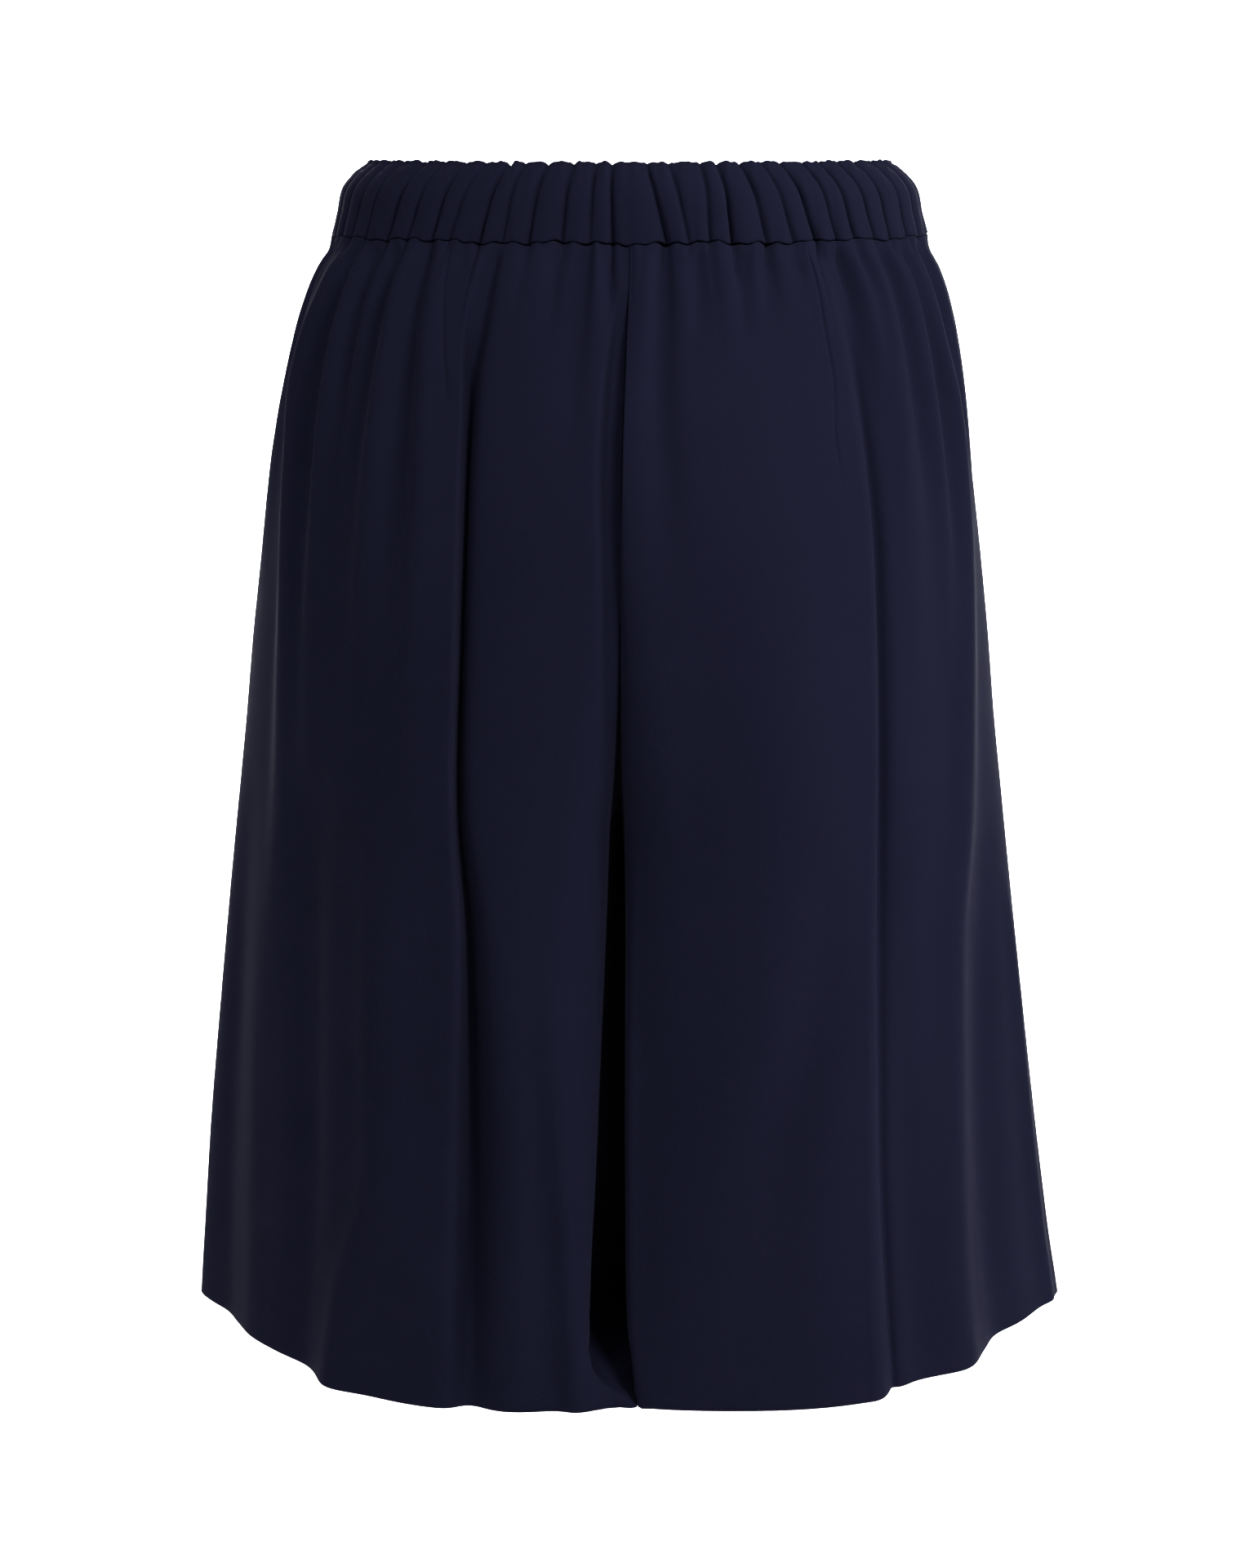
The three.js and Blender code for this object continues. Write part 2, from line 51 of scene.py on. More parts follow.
# Heights of the cut
BAND_TOP, BAND_BOTTOM = 17.5, -17.5
SEAM_GAP = 0.3
PANEL_TOP = BAND_BOTTOM - SEAM_GAP
CROTCH = -278.0
HEM = -537.0
FRONT_WAIST_DROP, WAIST_DROP_END = 6.5, -200.0

# The centre seam's way down the seat, and how much flatter the front is cut than the back
SEAT_TOP, SEAT_ROUNDNESS, SEAT_DEPTH = -50.0, 2.8, 140.0
FRONT_PINCH, FRONT_OPEN = 0.6, 0.6

# The cleft of the seat and the inner faces of the legs
INSEAM_CLEARANCE, INSEAM_PARTING = 1.0, 30.0
CORNER_SQUARENESS, INNER_SPREAD, TURN_LENGTH = 2.3, 0.7, 0.8
CLEFT_SHUT, CLEFT_OPEN = 0.3, 0.8
HEM_CLEFT_TOP, HEM_CLEFT_END, HEM_CLEFT_SHUT = -500.0, -526.0, 0.84

# Cloth, turned edges and allowances
CLOTH = 0.55
SEAM_TURN, SEAM_ALLOWANCE, SEAM_SHUT = 0.9, 9.0, 0.005
WAIST_TURN, WAIST_ALLOWANCE = 0.7, 1.2
HEM_TURN, HEM_DEPTH = 1.2, 30.0
BAND_FOLD = 1.25
FIRST_STITCH = 1.5
FLUSH_STEP = 0.02

# Body of the shorts from the waist seam to the hem: half the width, depth behind and in front,
# flatness, pinch at the sides, sway to one side, and the form of the cleft between the legs. As in
# the solids, with the cleft drawn closer together at the hem.
BODY_COLUMNS = ("z", "half", "back", "front", "flat", "pinch", "sway", "corner", "deep", "open",
                "split_back", "split_middle", "split_front")
BODY = np.array([
    (-17.8, 138.8, 100, 98, 0.00, 0.00, 0.0, 16, 12, 0.0, 0, 0, 0),
    (-25, 139.8, 103, 99.5, 0.00, 0.00, -0.2, 16, 12, 0.0, 0, 0, 0),
    (-33, 143.8, 107, 102, 0.00, 0.02, -0.4, 16, 12, 0.0, 0, 0, 0),
    (-44, 147.8, 112, 105, 0.01, 0.04, -0.7, 16, 12, 0.0, 0, 0, 0),
    (-65, 153.5, 121, 110, 0.02, 0.08, -1.6, 16, 12, 0.0, 0, 0, 0),
    (-100, 160.5, 134, 116, 0.04, 0.15, -2.9, 16, 12, 0.0, 0, 0, 0),
    (-145, 167.5, 144, 121, 0.06, 0.25, -3.7, 18, 14, 0.0, 0, 0, 0),
    (-200, 174.5, 149, 124, 0.09, 0.36, -4.2, 21, 19, 0.3, 0, 0, 0),
    (-245, 179.0, 150.5, 126, 0.11, 0.43, -4.4, 25, 26, 1.5, -0.6, 0, 0),
    (-278, 182.8, 151, 127, 0.12, 0.50, -4.4, 28, 30, 3.2, -1.2, 0, 0.5),
    (-320, 187.7, 152, 128.5, 0.13, 0.55, -4.4, 28, 26, 4.3, -1.8, 3.5, 2),
    (-380, 194.6, 153.5, 131, 0.15, 0.62, -4.0, 26, 21, 5.5, -3.6, 5, 4),
    (-445, 202.0, 155, 134, 0.16, 0.70, -3.2, 24, 17, 7.0, -5.8, 5, 4),
    (-500, 208.0, 157, 136, 0.16, 0.74, -1.6, 22, 13, 9.5, -9.0, 5, 4),
    (-515, 209.8, 157.4, 136.8, 0.16, 0.74, -1.0, 20, 10, 10.8, -9.0, 5, 4),
    (-527, 211.3, 157.7, 137.5, 0.16, 0.75, -0.4, 18, 7, 6.4, -4.0, 5, 4),
    (-534, 212.1, 157.9, 137.8, 0.16, 0.75, -0.1, 16, 5, 0.3, 3.2, 4, 4),
    (-537, 212.5, 158, 138, 0.16, 0.75, 0.0, 16, 4, 0.05, 3.4, 4, 4),
], float)

# Waistband from its gathered top edge to the waist seam, its ends a little fuller than the solids'
BAND_COLUMNS = ("z", "half", "back", "front")
BAND = np.array([
    (17.5, 120, 86, 85),
    (12, 127, 92, 91),
    (4, 133, 96, 95),
    (-8, 136, 98.5, 97.5),
    (-17.5, 138.8, 100, 98),
], float)

# Creases of the elastic casing: share of the half girth from the centre at the top and at the
# bottom, depth at the top and at the bottom. Minus is the wearer's left.
CREASES = np.array([
    (-0.955, -0.960, 1.2, 1.2), (-0.885, -0.900, 1.5, 1.7), (-0.818, -0.838, 1.3, 1.5),
    (-0.750, -0.778, 1.7, 1.6), (-0.689, -0.714, 1.2, 1.4), (-0.595, -0.631, 1.9, 2.0),
    (-0.530, -0.564, 1.3, 1.6), (-0.460, -0.492, 1.9, 1.7), (-0.400, -0.444, 1.0, 1.4),
    (-0.330, -0.364, 1.9, 2.0), (-0.285, -0.305, 1.5, 1.1), (-0.222, -0.240, 1.9, 1.9),
    (-0.150, -0.160, 1.4, 1.8), (-0.090, -0.094, 1.5, 1.0), (-0.048, -0.040, 1.6, 2.4),
    (0.045, 0.090, 1.6, 2.4), (0.105, 0.140, 1.5, 1.0), (0.190, 0.190, 1.3, 1.7),
    (0.235, 0.245, 1.7, 2.5), (0.300, 0.330, 1.7, 1.5), (0.361, 0.400, 0.9, 1.4),
    (0.420, 0.460, 1.8, 2.4), (0.490, 0.520, 1.4, 1.4), (0.546, 0.575, 1.5, 1.9),
    (0.612, 0.640, 1.5, 1.5), (0.684, 0.700, 1.9, 1.8), (0.770, 0.780, 1.2, 1.5),
    (0.850, 0.850, 1.7, 1.7), (0.930, 0.930, 1.3, 1.3),
], float)


def column(table, names, name, z):
    """One column of a table at heights z, on a smooth curve through its rows."""
    heights, values = table[:, 0], table[:, names.index(name)]
    z = np.clip(z, heights[-1], heights[0])
    k = np.clip(np.searchsorted(-heights, -z, side="right") - 1, 0, len(heights) - 2)
    slopes = np.gradient(values, heights)
    slopes[1:-1] = (values[2:] - values[:-2]) / (heights[2:] - heights[:-2])
    span = heights[k + 1] - heights[k]
    t = (z - heights[k]) / span
    start = (2 * t ** 3 - 3 * t ** 2 + 1) * values[k] + (t ** 3 - 2 * t ** 2 + t) * slopes[k] * span
    end = (3 * t ** 2 - 2 * t ** 3) * values[k + 1] + (t ** 3 - t ** 2) * slopes[k + 1] * span
    return start + end


def body(name, z):
    """One column of the body's table."""
    return column(BODY, BODY_COLUMNS, name, z)


def ease(start, end, value):
    """0 at start, 1 at end, smooth between."""
    t = np.clip((value - start) / (end - start), 0, 1)
    return t * t * (3 - 2 * t)


def unit(vectors):
    return vectors / np.maximum(np.linalg.norm(vectors, axis=-1, keepdims=True), 1e-9)


def ripple(place, seed, lengths):
    """Uneven ripples along a seam: a few seeded waves of the given lengths, between about -1 and 1."""
    draw = np.random.default_rng(seed)
    total = np.zeros_like(place)
    for length in lengths:
        total += np.sin(place * (2 * math.pi / length) + draw.uniform(0, 2 * math.pi))
    return total / math.sqrt(len(lengths))


class Form:
    """Half ovals of one face at every height, with the turn for a share of the girth and back."""
    LEVELS = 400
    TURNS = 181
    SHARES = 241

    def __init__(self, top, bottom, half, depth, flat, pinch):
        self.z = np.linspace(top, bottom, self.LEVELS)
        self.half, self.depth, self.flat, self.pinch = half, depth, flat, pinch
        turns = np.linspace(0, math.pi / 2, self.TURNS)
        x, y = self.place(self.z[:, None], turns[None, :])
        steps = np.hypot(np.diff(x, axis=1), np.diff(y, axis=1))
        lengths = np.concatenate([np.zeros((self.LEVELS, 1)), np.cumsum(steps, axis=1)], axis=1)
        self.girths = lengths[:, -1]
        self.shares = lengths / lengths[:, -1:]
        grid = np.linspace(0, 1, self.SHARES)
        self.turns = np.array([np.interp(grid, row, turns) for row in self.shares])

    def place(self, z, turn):
        across = np.sin(turn)
        bend = 1 + self.flat(z) * np.sin(2 * turn) ** 2 - self.pinch(z) * across ** 4
        return self.half(z) * across, self.depth(z) * np.cos(turn) * bend

    def look_up(self, table, z, part):
        """A value of a table with a row for each height and even columns from part 0 to 1."""
        i = (self.z[0] - z) / (self.z[0] - self.z[-1]) * (self.LEVELS - 1)
        j = part * (table.shape[1] - 1)
        i0 = np.clip(np.floor(i).astype(int), 0, self.LEVELS - 2)
        j0 = np.clip(np.floor(j).astype(int), 0, table.shape[1] - 2)
        a, b = np.clip(i - i0, 0, 1), np.clip(j - j0, 0, 1)
        upper = table[i0, j0] * (1 - b) + table[i0, j0 + 1] * b
        lower = table[i0 + 1, j0] * (1 - b) + table[i0 + 1, j0 + 1] * b
        return upper * (1 - a) + lower * a

    def turn(self, z, share):
        return self.look_up(self.turns, z, share)

    def share(self, z, turn):
        return self.look_up(self.shares, z, turn / (math.pi / 2))

    def girth(self, z):
        return np.interp(-z, -self.z, self.girths)


def body_form(face):
    """The form of the body behind or in front."""
    side = DEPTH_COLUMN[face]
    pinch = 1 if face == BACK else FRONT_PINCH
    return Form(PANEL_TOP, HEM, lambda z: body("half", z), lambda z: body(side, z),
                lambda z: body("flat", z), lambda z: body("pinch", z) * pinch)


def band_form(face):
    """The form of the waistband behind or in front."""
    side = DEPTH_COLUMN[face]
    return Form(BAND_TOP, BAND_BOTTOM, lambda z: column(BAND, BAND_COLUMNS, "half", z),
                lambda z: column(BAND, BAND_COLUMNS, side, z), lambda z: 0 * z, lambda z: 0 * z)


BODY_FORMS = {face: body_form(face) for face in (BACK, FRONT)}
BAND_FORMS = {face: band_form(face) for face in (BACK, FRONT)}


def seam_depth(z, depth):
    """The centre seam runs down the seat, curves under to the crotch and comes up in front."""
    fall = np.clip((SEAT_TOP - z) / (SEAT_TOP - CROTCH), 0, 1)
    seat = depth * (1 - fall ** SEAT_ROUNDNESS) ** (1 / SEAT_ROUNDNESS)
    return np.where(z <= CROTCH, SEAM_SHUT, seat)


def inner_turn(inner, cleft, corner, deep, z):
    """The turn from the oval into the cleft of the seat or the leg's inner face, and how far the gap
    between the legs is opened there."""
    turn_depth = deep * (1 - np.exp(-cleft / deep))
    straight = cleft - turn_depth
    start = straight / (straight + TURN_LENGTH * (corner + turn_depth))
    way = inner ** INNER_SPREAD
    turn = math.pi / 2 * np.clip((way - start) / (1 - start), 0, 1)
    power = 2 / CORNER_SQUARENESS
    across = 1 - np.cos(turn).clip(0) ** power
    inside = turn_depth * (1 - np.sin(turn) ** power)
    first = way < start
    part = np.where(first, way / np.maximum(start, 1e-9), 1)
    down = cleft - straight * part
    low = ease(HEM_CLEFT_TOP, HEM_CLEFT_END, z)
    shut = CLEFT_SHUT + (HEM_CLEFT_SHUT - CLEFT_SHUT) * low
    gap = ease(shut, CLEFT_OPEN + (1 - CLEFT_OPEN) * low, part)
    return np.where(first, 0, across), np.where(first, down, inside), gap


def waist_drop(face, turn):
    """The waist sits a little lower in front than behind."""
    return FRONT_WAIST_DROP * np.cos(turn) if face == FRONT else 0 * turn


def bare_cloth(leg, face, z, inner, outer):
    """The smooth form of a panel: points, share of the half girth and depth inside the oval."""
    form = BODY_FORMS[face]
    depth = body(DEPTH_COLUMN[face], z)
    half, corner, deep = body("half", z), body("corner", z), body("deep", z)
    opened = body("open", z) * (1 if face == BACK else FRONT_OPEN)
    split = body("split_back" if face == BACK else "split_front", z)
    leg_side = ease(0, INSEAM_PARTING, CROTCH - z)
    start_depth = seam_depth(z, depth)
    cleft = depth - start_depth
    across, inside, gap = inner_turn(inner, cleft, corner, deep, z)
    start_x = SEAM_SHUT + INSEAM_CLEARANCE * leg_side + leg * body("split_middle", z) * leg_side
    behind_x = SEAM_SHUT + opened + leg * split
    along = np.where(cleft > 1e-6, 1 - inside / np.maximum(cleft, 1e-6), 1)
    near_x = start_x + (behind_x - start_x) * gap
    x = near_x + (corner - near_x) * across
    corner_share = form.share(z, np.arcsin(corner / half))
    turn = np.where(outer > 0, form.turn(z, corner_share + (1 - corner_share) * outer),
                    np.arcsin(np.clip(x, 0, None) / half))
    share = form.share(z, turn)
    oval_x, oval_y = form.place(z, turn)
    y = np.where(outer > 0, oval_y, start_depth + (oval_y - start_depth) * along)
    x = np.where(outer > 0, oval_x, x)
    fall = waist_drop(face, turn) * ease(WAIST_DROP_END, PANEL_TOP, z)
    points = np.stack([leg * x + body("sway", z), face * y, z - fall], axis=-1)
    return points, share, inside


# Rows of a panel: heights at the centre seam or inseam follow the seam's own length, so that it
# stays smooth where it runs level under the crotch
ROWS_ABOVE, ROWS_BELOW = 104, 66
ROW_SAMPLES = 4000
TOP_CROWD, TOP_REACH = 1.6, 30.0
CROTCH_SIDE = -300.0


def crowd_top(z):
    """Rows lie closer at the gathers under the waist seam."""
    return 1 + TOP_CROWD * np.exp(-((PANEL_TOP - z) / TOP_REACH) ** 2)


def spread(places, weight, count):
    """count places from the first to the last of places, closer where weight is large."""
    total = np.concatenate([[0], np.cumsum((weight[1:] + weight[:-1]) / 2)])
    return np.interp(np.linspace(0, total[-1], count), total, places)


def row_heights():
    """The heights of a panel's rows at its centre seam or inseam, and at its side seam."""
    first, last = PANEL_TOP - WAIST_TURN, HEM + HEM_TURN
    fall = np.linspace(0, 1, ROW_SAMPLES)
    z = first + (CROTCH - first) * (1 - (1 - fall) ** 3)
    run = np.hypot(np.gradient(z), np.gradient(seam_depth(z, SEAT_DEPTH)))
    centre = np.concatenate([spread(z, crowd_top(z) * run, ROWS_ABOVE),
                             np.linspace(CROTCH, last, ROWS_BELOW + 1)[1:]])
    z = np.linspace(first, CROTCH_SIDE, ROW_SAMPLES)
    side = np.concatenate([spread(z, crowd_top(z), ROWS_ABOVE),
                           np.linspace(CROTCH_SIDE, last, ROWS_BELOW + 1)[1:]])
    return centre, side


# Folds of the panels, each a path down the cloth with a row for each point:
# height, share of the half girth from the centre, how far it stands out, its reach towards the
# centre and towards the side seam. A roll is a rounded ridge, or a hollow where it is minus; a lap
# is a step that stands out on its side-seam side, or on its centre side where it is minus, and
# its cloth leans over the lower side. A sink moves the cloth straight in, with a flat bottom, and a
# slope does so softly.
ROLL, LAP, SINK, SLOPE = "roll", "lap", "sink", "slope"
BACK_LEFT_FOLDS = [
    (ROLL, [(-18, .965, 1.6, 6, 4), (-60, .965, 2.4, 7, 5), (-120, .96, 1.2, 8, 6),
            (-190, .96, 0, 9, 7)]),
    (ROLL, [(-18, .930, -1.6, 4, 4), (-60, .935, -1.6, 5, 5), (-120, .94, 0, 6, 6)]),
    (ROLL, [(-18, .890, 2.4, 6, 4), (-45, .900, 4.0, 8, 4.5), (-90, .915, 3.0, 9, 6),
            (-190, .92, 0, 10, 8)]),
    (ROLL, [(-18, .862, -1.8, 3, 4), (-50, .872, -2.2, 4, 5), (-100, .88, 0, 5, 6)]),
    (ROLL, [(-18, .835, 2.0, 5, 3), (-40, .852, 2.8, 6, 3.5), (-70, .865, 1.6, 8, 5),
            (-110, .87, 0, 9, 6)]),
    (ROLL, [(-18, .757, 2.8, 8, 3.5), (-38, .792, 4.6, 10, 4), (-81, .828, 5.0, 12, 5),
            (-118, .80, 4.4, 13, 7), (-161, .768, 4.4, 14, 8), (-206, .749, 3.8, 15, 9),
            (-300, .74, 1.6, 16, 12), (-380, .74, 0, 18, 14)]),
    (ROLL, [(-18, .730, -2.6, 5, 5), (-45, .742, -4.0, 7, 6), (-80, .752, -3.8, 9, 8),
            (-110, .735, -3.6, 9, 8), (-150, .715, -1.6, 9, 8), (-200, .70, 0, 9, 9)]),
    (ROLL, [(-18, .703, 2.6, 7, 3.5), (-40, .70, 4.2, 9, 4), (-65, .693, 4.4, 10, 4.5),
            (-109, .676, 3.8, 12, 6), (-170, .651, 2.8, 13, 8), (-230, .64, 1.2, 14, 9),
            (-280, .64, 0, 14, 9)]),
    (ROLL, [(-18, .660, -2.8, 5, 4), (-45, .652, -4.0, 6, 5), (-85, .635, -3.4, 8, 7),
            (-140, .61, -1.2, 9, 9), (-190, .60, 0, 9, 9)]),
    (ROLL, [(-18, .628, 2.2, 6, 3.5), (-40, .618, 3.0, 7, 4), (-75, .600, 2.2, 8, 5),
            (-130, .58, 0, 9, 6)]),
    (ROLL, [(-18, .592, -2.6, 5, 4), (-45, .582, -3.4, 6, 5), (-80, .566, -2.6, 7, 6),
            (-130, .55, 0, 8, 7)]),
    (ROLL, [(-18, .550, 2.6, 8, 3.5), (-40, .538, 4.4, 10, 3.5), (-63, .522, 4.8, 11, 4.5),
            (-130, .500, 3.6, 13, 7), (-185, .492, 2.0, 14, 9), (-250, .48, 0, 14, 10)]),
    (ROLL, [(-18, .497, -2.8, 5, 4), (-45, .486, -4.2, 6, 5), (-90, .455, -3.8, 8, 7),
            (-140, .435, -2.0, 9, 9), (-190, .43, 0, 8, 8)]),
    (ROLL, [(-18, .460, 2.2, 5, 3), (-50, .433, 3.6, 7, 4), (-104, .385, 3.8, 9, 6),
            (-151, .368, 3.4, 10, 8), (-220, .365, 2.6, 12, 9), (-300, .37, 1.6, 14, 10),
            (-400, .37, 0, 14, 10)]),
    (LAP, [(-28, .366, 0, 2, 2), (-42, .352, 1.6, 2.2, 2.2), (-60, .340, 3.6, 2.4, 2.4),
           (-91, .314, 6.0, 2.6, 2.6), (-136, .297, 7.6, 2.8, 2.8), (-193, .288, 8.6, 3, 3),
           (-265, .283, 8.4, 3.2, 3.2), (-320, .264, 7.4, 3.6, 3.6), (-412, .257, 5.6, 6, 6),
           (-496, .265, 4.2, 8, 8), (-537, .273, 3.4, 9, 9)]),
    (ROLL, [(-18, .322, -4.0, 3, 3.5), (-34, .318, -5.0, 3.5, 4), (-52, .313, -5.5, 3.5, 3.5),
            (-70, .310, -7.0, 3, 3), (-91, .298, -8.5, 2.8, 2.8), (-136, .284, -9.5, 2.8, 2.8),
            (-193, .275, -10, 3, 3), (-265, .270, -10, 3.5, 3.5), (-320, .249, -14, 5.5, 5),
            (-412, .236, -16, 9, 7), (-480, .240, -13, 10, 8), (-537, .245, -5, 10, 9)]),
    (ROLL, [(-19, .347, 1.8, 4, 3), (-34, .340, 1.8, 4, 3), (-60, .33, 0, 4, 4)]),
    (ROLL, [(-18, .25, 1.6, 16, 12), (-40, .25, 2.0, 18, 14), (-90, .23, 1.4, 20, 16),
            (-150, .21, 0, 20, 18)]),
    (ROLL, [(-18, .170, -1.6, 3, 4), (-34, .165, -1.2, 3, 4), (-60, .16, 0, 4, 5)]),
    (ROLL, [(-18, .097, -3.0, 2.5, 5), (-40, .097, -2.6, 3, 6), (-74, .096, -1.6, 4, 8),
            (-115, .10, 0, 5, 8)]),
    (ROLL, [(-18, .075, 1.4, 3, 3), (-50, .07, 1.2, 4, 4), (-90, .07, 0, 4, 4)]),
    (ROLL, [(-18, .052, -2.2, 2, 3.5), (-34, .040, -1.8, 2.5, 4), (-58, .027, 0, 3, 4)]),
    (SINK, [(-36, 0, 0, 9, 4), (-56, .008, 4.0, 9, 5), (-80, .012, 6.5, 9, 6),
            (-120, .012, 7.5, 9, 6.5), (-150, .010, 7.0, 9, 6), (-195, .008, 5.0, 9, 5.5),
            (-250, .008, 2.0, 9, 6), (-290, .01, 0, 9, 6)]),
    (SLOPE, [(-250, .02, 0, 20, 22), (-340, .02, 5, 20, 22), (-480, .02, 7, 20, 22),
             (-537, .02, 4, 20, 20)]),
    (ROLL, [(-240, .44, 0, 14, 14), (-323, .411, 4.6, 14, 14), (-436, .396, 6.2, 15, 14),
            (-486, .46, 6.4, 15, 12), (-537, .496, 6.0, 15, 12)]),
    (ROLL, [(-230, .60, 0, 12, 16), (-340, .60, -3.4, 14, 18), (-440, .58, -4.4, 14, 18),
            (-537, .60, -3.6, 14, 18)]),
    (ROLL, [(-260, .80, 0, 14, 12), (-340, .79, 1.0, 16, 14), (-460, .77, 1.6, 16, 14),
            (-537, .76, 1.8, 16, 14)]),
    (ROLL, [(-250, .90, 0, 14, 12), (-360, .895, -1.6, 14, 12), (-537, .89, -2.0, 14, 12)]),
    (ROLL, [(-320, .12, 0, 10, 6), (-387, .103, 3.0, 12, 7), (-433, .091, 4.0, 12, 7),
            (-498, .083, 4.8, 12, 7), (-537, .08, 4.8, 12, 7)]),
    (ROLL, [(-280, .185, 0, 16, 16), (-360, .18, 2.2, 16, 16), (-537, .18, 2.4, 16, 16)]),
]
BACK_RIGHT_FOLDS = [
    (SLOPE, [(-200, 0, 0, 20, 40), (-290, 0, 7, 20, 42), (-400, 0, 9, 20, 38), (-500, 0, 5, 20, 26),
             (-537, 0, 2.5, 20, 22)]),
    (ROLL, [(-18, .040, 1.6, 5, 4), (-50, .040, 1.4, 6, 5), (-90, .04, 0, 8, 6)]),
    (ROLL, [(-18, .082, -3.2, 4.5, 3), (-40, .078, -3.6, 5.5, 4), (-74, .073, -3.4, 7, 5),
            (-120, .079, -2.0, 8, 7), (-175, .08, 0, 9, 9)]),
    (ROLL, [(-18, .112, -2.4, 2.2, 3), (-32, .110, 0, 3, 3)]),
    (ROLL, [(-18, .163, -2.8, 2.6, 4), (-32, .157, -2.2, 3, 5), (-60, .150, 0, 4, 7)]),
    (ROLL, [(-18, .215, 1.4, 8, 8), (-40, .212, 1.2, 9, 9), (-80, .21, 0, 10, 10)]),
    (ROLL, [(-18, .262, -2.6, 2.6, 4), (-32, .252, -2.0, 3, 5), (-62, .243, 0, 4, 6)]),
    (ROLL, [(-18, .326, -2.6, 2.6, 4), (-31, .312, -2.2, 3, 5), (-62, .298, 0, 4, 6)]),
    (ROLL, [(-18, .387, -2.0, 3, 3), (-30, .384, -1.0, 3, 3), (-50, .38, 0, 3, 3)]),
    (LAP, [(-20, .450, -2.0, 2, 2), (-30, .469, -3.2, 2, 2), (-56, .479, -4.2, 2.2, 2.2),
           (-96, .488, -4.8, 2.4, 2.4), (-145, .495, -5.2, 2.6, 2.6), (-197, .486, -5.6, 2.6, 2.6),
           (-270, .474, -6.0, 2.8, 2.8), (-326, .460, -6.2, 3, 3), (-418, .435, -6.8, 3, 3),
           (-479, .425, -7.2, 3, 3), (-537, .418, -7.8, 3, 3)]),
    (ROLL, [(-18, .508, -2.4, 3, 4), (-45, .522, -2.8, 4, 5), (-90, .53, -1.8, 6, 7),
            (-150, .535, 0, 7, 8)]),
    (ROLL, [(-30, .484, 0, 3, 5), (-60, .494, -3.0, 3, 5), (-145, .508, -4.5, 3, 6),
            (-270, .488, -5.0, 3.5, 7), (-418, .450, -5.0, 4, 8), (-537, .436, -4.5, 4, 8)]),
    (ROLL, [(-18, .548, 2.2, 6, 5), (-40, .562, 3.2, 7, 5), (-75, .570, 2.2, 8, 6),
            (-130, .575, 0, 10, 8)]),
    (ROLL, [(-18, .578, -2.2, 3, 3), (-45, .586, -2.4, 4, 3.5), (-90, .588, 0, 5, 5)]),
    (ROLL, [(-18, .605, 2.6, 4, 7), (-40, .605, 4.2, 4.5, 9), (-90, .604, 4.0, 6, 11),
            (-148, .60, 2.6, 9, 13), (-230, .60, 0, 10, 14)]),
    (ROLL, [(-18, .655, -2.6, 3, 4), (-45, .660, -3.2, 4, 5), (-90, .668, -2.4, 6, 7),
            (-150, .68, 0, 8, 8)]),
    (ROLL, [(-18, .690, 2.6, 4, 7), (-40, .697, 4.2, 4.5, 9), (-74, .705, 4.2, 5, 10),
            (-144, .728, 3.0, 8, 12), (-230, .73, 0, 10, 13)]),
    (ROLL, [(-18, .738, -2.4, 3, 4), (-50, .748, -3.2, 4, 5), (-90, .770, -3.0, 6, 7),
            (-150, .775, -1.8, 8, 8), (-220, .76, 0, 9, 9)]),
    (ROLL, [(-20, .772, 2.8, 4, 8), (-63, .788, 4.6, 5, 9), (-94, .826, 4.8, 6, 11),
            (-133, .826, 4.8, 9, 12), (-208, .788, 5.2, 11, 13), (-283, .745, 5.2, 12, 14),
            (-337, .677, 5.2, 13, 15), (-469, .609, 6.2, 13, 17), (-537, .595, 6.4, 13, 17)]),
    (ROLL, [(-18, .822, -2.2, 3, 4), (-50, .838, -2.6, 4, 5), (-100, .875, -1.8, 6, 6),
            (-150, .88, 0, 7, 7)]),
    (ROLL, [(-18, .855, 2.2, 4, 7), (-45, .872, 3.2, 5, 8), (-90, .905, 2.0, 6, 8),
            (-150, .92, 0, 8, 8)]),
    (ROLL, [(-18, .935, 1.8, 4, 6), (-60, .945, 2.2, 5, 6), (-130, .95, 0, 6, 6)]),
    (ROLL, [(-280, .375, 0, 16, 16), (-335, .34, -3.4, 17, 17), (-379, .299, -4.6, 18, 18),
            (-420, .253, -3.8, 18, 18), (-490, .24, 0, 18, 18)]),
    (ROLL, [(-320, .945, 0, 6, 4), (-353, .948, 1.8, 7, 4), (-420, .95, 2.4, 8, 4),
            (-487, .951, 2.4, 8, 4), (-537, .952, 2.4, 8, 4)]),
    (ROLL, [(-280, .86, 0, 16, 14), (-370, .80, -4.2, 17, 15), (-460, .77, -5.2, 18, 16),
            (-537, .76, -5.0, 18, 16)]),
    (ROLL, [(-240, .525, 0, 9, 9), (-380, .508, -3.8, 12, 12), (-537, .50, -4.4, 12, 14)]),
    (ROLL, [(-60, .30, 0, 30, 24), (-150, .30, 2.0, 34, 26), (-260, .29, 2.0, 34, 26),
            (-340, .28, 0, 30, 24)]),
]
